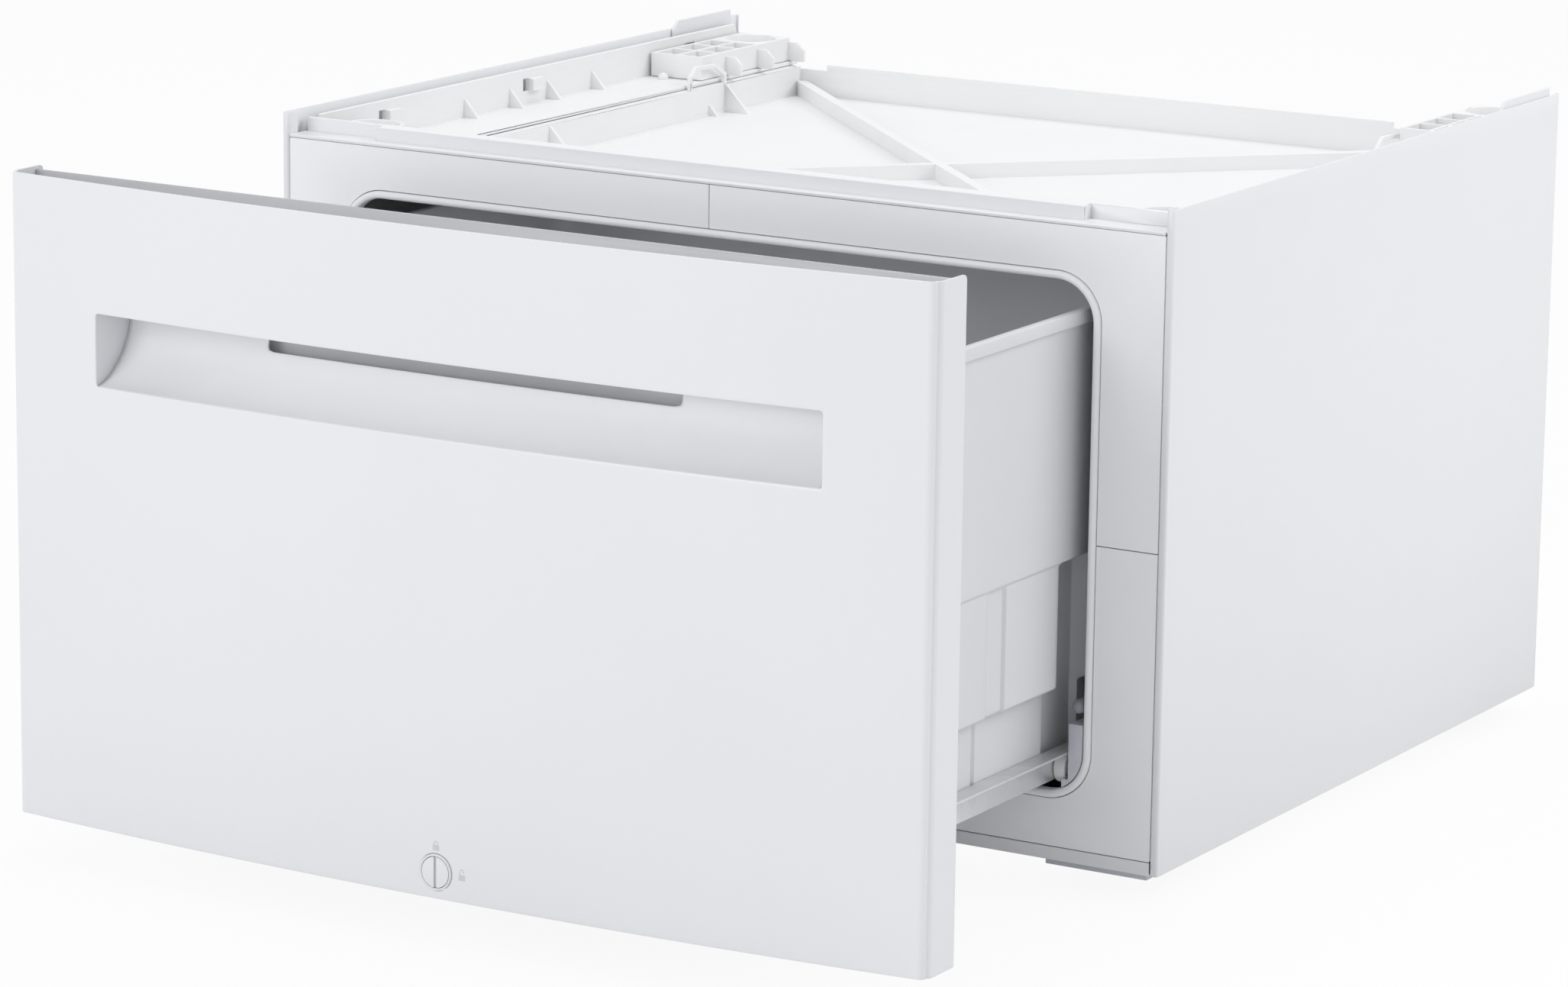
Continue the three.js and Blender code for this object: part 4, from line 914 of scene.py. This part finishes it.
def tub_loop(inset):
    """Rings round the tub at every height line: front and rear walls, round corners and shaped sides.

    inset moves the rings inwards for the inner skin. Gives an array of heights by places by 3.
    """
    z = height_lines[:, None]

    def upright(x, y):
        """Places along x and y at every height."""
        return np.stack(np.broadcast_arrays(x, y, z), -1)

    def mirrored(part):
        """The same places on the left, in the other order."""
        return part[:, ::-1] * np.array([-1.0, 1.0, 1.0])

    corner_reach = side_reach(np.array([[tub_corner]]), z) - tub_corner
    corner_x = corner_reach + (tub_corner - inset) * np.cos(corner_turn)
    corner_y = tub_corner - (tub_corner - inset) * np.sin(corner_turn)
    across = np.linspace(1.0, -1.0, 41)
    side = upright(side_reach(side_places, z) - inset, tub_front + side_places)
    rear_corner = upright(corner_x, tub_rear - corner_y)
    rear_end = upright(corner_reach * across, tub_rear - inset)
    front_corner = upright(corner_x, tub_front + corner_y)[:, ::-1]
    front_end = upright(-corner_reach * across, tub_front + inset)
    rear_half = [side, rear_corner, rear_end, mirrored(rear_corner), mirrored(side)]
    return np.concatenate([*rear_half, mirrored(front_corner), front_end, front_corner], 1)


def tub_skin(inset, bead):
    """The tub's skin from the middle of its floor, out to the fillet, up the wall and over its bead.

    Each extra ring is a lower ring drawn in, or an upper ring pushed out, by a share of its corner.
    """
    rings = tub_loop(inset)
    floor_z = tub_bottom + inset
    half_width, half_length = rings[0][:, 0].max(), tub_length / 2 - inset
    top_half_width = rings[-1][:, 0].max()

    def scaled(ring, across, along, z):
        """A ring scaled about the tub's middle, at one height."""
        middle = (tub_front + tub_rear) / 2
        y = middle + (ring[:, 1] - middle) * along
        return np.stack([ring[:, 0] * across, y, z + 0.0 * y], 1)

    lower = []
    for angle in np.linspace(0.0, np.pi / 2, 6)[:-1]:
        drop = floor_fillet * (1 - np.sin(angle))
        z = floor_z + floor_fillet * (1 - np.cos(angle))
        lower.append(scaled(rings[0], 1.0 - drop / half_width, 1.0 - drop / half_length, z))
    floor = [scaled(lower[0], share, share, floor_z) for share in np.linspace(0.0, 1.0, 7)[:-1]]
    upper = [scaled(rings[-1], 1.0 + out / top_half_width, 1.0, z) for out, z in bead]
    return np.array([*floor, *lower, *rings, *upper])


bead_turn = np.linspace(0.0, np.pi / 2, 5)
bead_in, bead_up = 1 - np.sin(bead_turn), 1 - np.cos(bead_turn)
bead_radius = 1.4
bead_foot = 0.8
outer_bead = [(0.0, tub_top - bead_height)]
outer_bead += zip(bead_proud - bead_foot * bead_in, tub_top - bead_height + bead_foot * bead_up)
outer_bead += zip(bead_proud - bead_radius * bead_up, tub_top - bead_radius * bead_in)
inner_bead = [(0.0, tub_top - 1.0), (0.35, tub_top - 0.3), (1.0, tub_top)]
whole_tub = np.concatenate([tub_skin(0.0, outer_bead), tub_skin(tub_wall, inner_bead)[::-1]])
tub_parts = [skin(whole_tub, around_second=True)]
boss_radius = 7.0
boss_soft = 0.5
boss_x = 183.4
boss_heights = tub_bottom + 24.0, tub_bottom + 174.0
boss_front = box_mm("drawer_inner_panel")[1][1] + 0.3
boss_end = tub_front + 1.0


def turned(profile, axis, centre, steps=48):
    """A closed round piece: (radius, place along the axis) pairs turned about an axis through centre."""
    profile = np.array(profile, float)
    angle = np.linspace(0.0, 2.0 * np.pi, steps, endpoint=False)[:, None]
    first = profile[None, :, 0] * np.cos(angle)
    second = profile[None, :, 0] * np.sin(angle)
    along = profile[None, :, 1] + 0.0 * angle
    order = {0: (along, first, second), 1: (second, along, first), 2: (first, second, along)}[axis]
    return skin(np.stack(order, -1) + centre, around_first=True)


for s in (-1, 1):
    for boss_z in boss_heights:
        boss = [(0.0, boss_front), (boss_radius - boss_soft, boss_front)]
        boss += [(boss_radius, boss_front + boss_soft), (boss_radius, boss_end), (0.0, boss_end)]
        tub_parts.append(turned(boss, 1, (s * boss_x, 0.0, boss_z), 32))
made("storage_tub", tub_parts, tub_plastic, "drawer", ["drawer_tub"], merge=0.002, crease=40.0)

# ------------------------------------------------------------------ top tray and channels
# The washer stands on this white moulding: a sunken tray with crossed braces, and a channel along each
# side with gussets, clips and the seats that take the washer's feet.

tray_plastic = moulded("tray_plastic", (0.87, 0.873, 0.877), (0.855, 0.858, 0.862), 0.48, 0.10)
softened("top_tray", "braced_tray", tray_plastic, "cabinet", 0.35)
wall_end_slope = 11.0
for side in ("left", "right"):
    channel = softened(f"side_channel_{side}", f"channel_{side}", tray_plastic, "cabinet", 0.5)
    # The rear end of the channel's outer wall slopes forward towards its top.
    place = np.array([vertex.co for vertex in channel.data.vertices]) * 1000.0
    wall_end = (place[:, 1:] > place[:, 1:].max(0) - 1.0).all(1)
    place[wall_end, 1] -= wall_end_slope
    channel.data.vertices.foreach_set("co", (place * 0.001).ravel())
    channel.data.update()
    softened(f"rear_foot_seat_{side}", f"rear_seat_{side}", tray_plastic, "cabinet", 0.4)
    softened(f"front_foot_seat_{side}", f"front_seat_{side}", tray_plastic, "cabinet", 0.5)

# ------------------------------------------------------------------ runners, rails and base
# Zinc-plated steel: the folded runners in the cabinet, the angles on the tub's sides, the base pan and
# the plate behind the frame that the lock's cam catches.


# Zinc plating shows a spangle of flat crystals, each with its own tone and gloss.
zinc_steel = Finish("zinc_steel")
tone = zinc_steel.node("SeparateColor", inputs={0: zinc_steel.pattern("Voronoi", 95.0, out="Color")})
fine = zinc_steel.pattern("Noise", 420.0, Detail=4.0)
zinc_pale, zinc_dark = (0.74, 0.745, 0.755), (0.69, 0.695, 0.705)
zinc_gloss = 0.42 + (tone - 0.5) * 0.08 + (fine - 0.5) * 0.08
zinc_steel.surface(tone, zinc_pale, zinc_dark, zinc_gloss, (0.08, 0.0001, fine), {"Metallic": 0.7})

softened("base_pan", "bottom_pan", zinc_steel, "cabinet", 0.5)
softened("lock_strike_plate", "strike_plate", zinc_steel, "cabinet", 0.3)
for side in ("left", "right"):
    softened(f"cabinet_runner_{side}", f"runner_{side}", zinc_steel, "cabinet", 0.35)
    softened(f"drawer_rail_{side}", f"rail_{side}", zinc_steel, "drawer", 0.4)

# ------------------------------------------------------------------ rollers, axles, brackets, bumpers
# The front rollers turn on axles in plastic brackets inside the rim, and the rear ones on the drawer's
# rails. A rubber finger above each bracket stops the drawer softly.

roller_plastic = moulded("roller_plastic", (0.69, 0.70, 0.71), (0.66, 0.67, 0.68), 0.36, 0.05)
bracket_plastic = moulded("bracket_plastic", (0.60, 0.625, 0.67), (0.575, 0.60, 0.645), 0.45, 0.12)
bumper_rubber = moulded("bumper_rubber", (0.30, 0.315, 0.335), (0.265, 0.28, 0.30), 0.62, 0.2, 700.0, 0.3)

roller_bore = 3.0
tyre_edge = 1.1
tyre_wall = 2.0
hub_wall = 1.5
dish_depth = 1.5
dish_slope = (0.6, 0.4)
hub_drop = 0.5
pin_clearance = 0.3
pin_edge = 0.3
axle_head = {"front": 1.9, "rear": 1.0}
quarter_turn = np.linspace(0.0, np.pi / 2, 5)
tyre_in_step = tyre_edge * (1.0 - np.sin(quarter_turn))
tyre_out_step = tyre_edge * (1.0 - np.cos(quarter_turn))
for end, body_of_axle in (("front", "cabinet"), ("rear", "drawer")):
    for side, s in (("left", -1), ("right", 1)):
        wheel = f"{end}_roller_{side}"
        low, high = box_mm(wheel)
        radius = (high[2] - low[2]) / 2
        centre = (low + high) / 2 * [0, 1, 1]
        inner, outer = sorted((abs(low[0]), abs(high[0])))
        tyre_in = np.stack([radius - tyre_in_step, inner + tyre_out_step], 1)
        tyre_out = np.stack([radius - tyre_out_step, outer - tyre_in_step], 1)
        dish, hub = outer - dish_depth, roller_bore + hub_wall
        profile = [(roller_bore, inner), *tyre_in, *tyre_out, (radius - tyre_wall, outer - 0.1)]
        profile += [(radius - tyre_wall - dish_slope[0], dish), (hub + dish_slope[1], dish)]
        profile += [(hub, outer - hub_drop), (roller_bore, outer - hub_drop), (roller_bore, inner)]
        disc = turned([(r, s * x) for r, x in profile], 0, centre, 56)
        made(f"{end}_wheel_{side}", [disc], roller_plastic, wheel, [wheel], merge=0.002)

        axle = f"{end}_roller_axle_{side}"
        low, high = box_mm(axle)
        near, far = sorted((abs(low[0]), abs(high[0])))
        head_radius = (high[2] - low[2]) / 2
        head_start = far - axle_head[end]
        pin = roller_bore - pin_clearance
        profile = [(0.0, near), (pin - pin_edge, near), (pin, near + pin_edge), (pin, head_start)]
        profile += [(head_radius - pin_edge, head_start), (head_radius, head_start + pin_edge)]
        profile += [(head_radius, far - pin_edge), (head_radius - pin_edge, far), (0.0, far)]
        rod = turned([(r, s * x) for r, x in profile], 0, centre, 40)
        made(f"{end}_axle_{side}", [rod], zinc_steel, body_of_axle, [axle], merge=0.002)

neck_place = 9.5
neck_half_width = 1.0
neck_depth = 0.6
bumper_edge = 0.5
nose_turn = np.linspace(0.0, np.pi / 2, 9)
for side in ("left", "right"):
    softened(f"roller_bracket_{side}", f"bracket_{side}", bracket_plastic, "cabinet", 0.5)
    low, high = box_mm(f"stop_bumper_{side}")
    radius = (high[0] - low[0]) / 2
    neck = low[1] + neck_place
    profile = [(radius * math.sin(a), low[1] + radius - radius * math.cos(a)) for a in nose_turn]
    profile += [(radius, neck - neck_half_width), (radius - neck_depth, neck - neck_half_width / 2)]
    profile += [(radius - neck_depth, neck + neck_half_width / 2), (radius, neck + neck_half_width)]
    profile += [(radius, high[1] - bumper_edge), (radius - bumper_edge, high[1]), (0.0, high[1])]
    finger = turned(profile, 1, (low + high) / 2 * [1, 0, 1], 36)
    made(f"bumper_{side}", [finger], bumper_rubber, "cabinet", [f"stop_bumper_{side}"], merge=0.002)

# ------------------------------------------------------------------ lock
# A coin lock at the foot of the drawer front: a round knob with a coin slot in a sleeve, on a long shaft
# that ends in a cam and its screw.

low, high = box_mm("lock_body")
knob_low, knob_high = box_mm("lock_knob")
lock_centre = (0.0, 0.0, lock_z)
sleeve = (high[2] - low[2]) / 2
sleeve_edge = 0.5
knob_radius = (knob_high[2] - knob_low[2]) / 2
knob_depth = 4.4
knob_edge = 0.4
knob_gap = 0.3
shaft = 3.5
shaft_end = 0.5
cup = knob_radius + knob_gap
cup_floor = low[1] + knob_depth + knob_gap
profile = [(sleeve - sleeve_edge, low[1]), (sleeve, low[1] + sleeve_edge), (sleeve, high[1] - 0.3)]
profile += [(sleeve - 0.3, high[1]), (shaft + knob_gap, high[1]), (shaft + knob_gap, cup_floor)]
profile += [(cup, cup_floor), (cup, low[1] + knob_edge), (cup + 0.3, low[1]), profile[0]]
sleeve_parts = [turned(profile, 1, lock_centre, 64)]
made("lock_sleeve", sleeve_parts, front_paint, "drawer", ["lock_body"], merge=0.002)

# The knob's face is two half discs, with the coin slot between them.
slot_depth = 1.6
slot_half_width = 0.9
knob_front = knob_low[1]
slot_floor, knob_back = knob_front + slot_depth, knob_front + knob_depth
disc = [(0.0, slot_floor), (knob_radius, slot_floor), (knob_radius, knob_back - knob_edge)]
disc += [(knob_radius - knob_edge, knob_back), (shaft, knob_back), (shaft, knob_high[1] - shaft_end)]
disc += [(shaft - shaft_end, knob_high[1]), (0.0, knob_high[1])]
knob_parts = [turned(disc, 1, lock_centre, 64)]
start_angle = math.asin(slot_half_width / knob_radius)
half_turn = np.linspace(start_angle, np.pi - start_angle, 33)
half_disc = knob_radius * np.stack([np.sin(half_turn), np.cos(half_turn)], 1)
for s in (-1, 1):
    knob_parts.append(plate(half_disc * [s, 1] + [0.0, lock_z], 1, knob_front, slot_floor, 0.35))
made("coin_knob", knob_parts, front_paint, "lock", ["lock_knob"], merge=0.001)
softened("lock_cam", "cam", zinc_steel, "lock", 0.3)

low, high = box_mm("lock_cam_screw")
head = (high[2] - low[2]) / 2
head_end = high[1]
profile = [(0.0, low[1]), (head, low[1]), (head, low[1] + 0.5), (head * 0.75, head_end - 0.3)]
profile += [(head * 0.45, head_end), (head * 0.4, head_end - 0.7), (0.0, head_end - 0.9)]
screw_parts = [turned(profile, 1, lock_centre, 32)]
made("cam_screw", screw_parts, zinc_steel, "lock", ["lock_cam_screw"], merge=0.002)

# ------------------------------------------------------------------ lock symbols
# Two small padlocks, one shut and one open, printed in pale grey beside the knob.

symbol_grey = moulded("symbol_grey", (0.62, 0.63, 0.65), (0.60, 0.61, 0.63), 0.4, 0.03)
symbol_grey.slot = "front_paint"
symbol_half = 2.1
symbol_height = 3.2
symbol_raised = 0.12
symbol_depth = 0.4
symbol_edge = 0.05
shackle_outer = 1.45
shackle_inner = 0.9
shackle_rise = 0.9
shackle_foot = 0.1
arch = np.linspace(np.pi, 0.0, 15)
arch_shape = np.stack([np.cos(arch), np.sin(arch)], 1)
symbol_parts = []
# Each symbol is (x, z, how far its shackle is lifted).
for x, z, lift in ((0.0, lock_z + 15.4, 0.0), (17.0, lock_z + 0.9, 0.9)):
    front = face_y(np.array(x)) - symbol_raised
    case = [(-symbol_half, -symbol_height), (symbol_half, -symbol_height)]
    case += [(symbol_half, 0.0), (-symbol_half, 0.0)]
    top = np.array([0.0, shackle_rise + lift])
    outer_arch, inner_arch = top + shackle_outer * arch_shape, top + shackle_inner * arch_shape[::-1]
    right_foot = [(shackle_outer, shackle_foot + lift), (shackle_inner, shackle_foot + lift)]
    left_foot = [(-shackle_inner, shackle_foot), (-shackle_outer, shackle_foot)]
    shackle = np.vstack([outer_arch, right_foot, inner_arch, left_foot])
    for outline in (rounded(case, 0.5), shackle):
        symbol_parts.append(plate(outline + [x, z], 1, front, front + symbol_depth, symbol_edge))
made("padlock_symbols", symbol_parts, symbol_grey, "drawer")

# ------------------------------------------------------------------ corner pads and feet
# A plastic pad under each corner of the base, and a levelling foot: a rubber-faced pad on a threaded
# stem with a hexagon nut.

foot_rubber = moulded("foot_rubber", (0.12, 0.12, 0.13), (0.10, 0.10, 0.11), 0.7, 0.25, 500.0, 0.3)
groove = 0.5
stem = 4.0
nut = 7.6
nut_height = 4.0
thread_pitch = 1.25
thread_depth = 0.6
thread_steps = 8
turn_steps = 24
for side in ("left", "right"):
    for end in ("front", "rear"):
        corner = f"{end}_{side}"
        softened(f"corner_pad_{corner}", f"corner_plate_{corner}", bracket_plastic, "cabinet", 0.6)

        low, high = box_mm(f"foot_pad_{corner}")
        radius = (high[0] - low[0]) / 2
        foot, top = low[2], high[2]
        centre = (low + high) / 2 * [1, 1, 0]
        profile = [(0.0, foot), (radius - 1.0, foot), (radius - 0.3, foot + 0.3), (radius, foot + 1.0)]
        profile += [(radius, foot + 2.2), (radius - groove, foot + 2.6), (radius - groove, foot + 3.0)]
        profile += [(radius, foot + 3.4), (radius - 1.2, top - 0.6), (radius - 3.0, top), (0.0, top)]
        pad = turned(profile, 2, centre, 56)
        replaced = [f"foot_pad_{corner}"]
        made(f"foot_rubber_{corner}", [pad], foot_rubber, f"foot_{corner}", replaced, merge=0.002)

        # The thread is a helix: the stem's radius dips by a zigzag of height less the turn's share.
        low, high = box_mm(f"foot_screw_{corner}")
        nut_top = low[2] + nut_height
        turn = np.linspace(0.0, 2.0 * np.pi, turn_steps, endpoint=False)[:, None]
        rows = int((high[2] - nut_top) / thread_pitch * thread_steps)
        height = np.linspace(nut_top - 0.5, high[2], rows)[None]
        phase = np.mod(height / thread_pitch - turn / (2.0 * np.pi), 1.0)
        thread = stem - thread_depth * np.abs(2.0 * phase - 1.0) * smooth(high[2] - height, 0.0, 1.0)
        around = [thread * np.cos(turn), thread * np.sin(turn), height + 0.0 * turn]
        points, faces = skin(np.stack(around, -1) + centre, around_first=True)
        faces += [[k * rows for k in range(turn_steps)], [k * rows + rows - 1 for k in range(turn_steps)]]
        hexagon = np.linspace(0.0, 2.0 * np.pi, 7)[:-1]
        nut_outline = nut * np.stack([np.sin(hexagon), np.cos(hexagon)], 1) + centre[:2]
        parts = [(points, faces), plate(nut_outline, 2, low[2], nut_top, 0.5)]
        replaced = [f"foot_screw_{corner}"]
        made(f"foot_stem_{corner}", parts, zinc_steel, f"screw_{corner}", replaced, merge=0.0005)
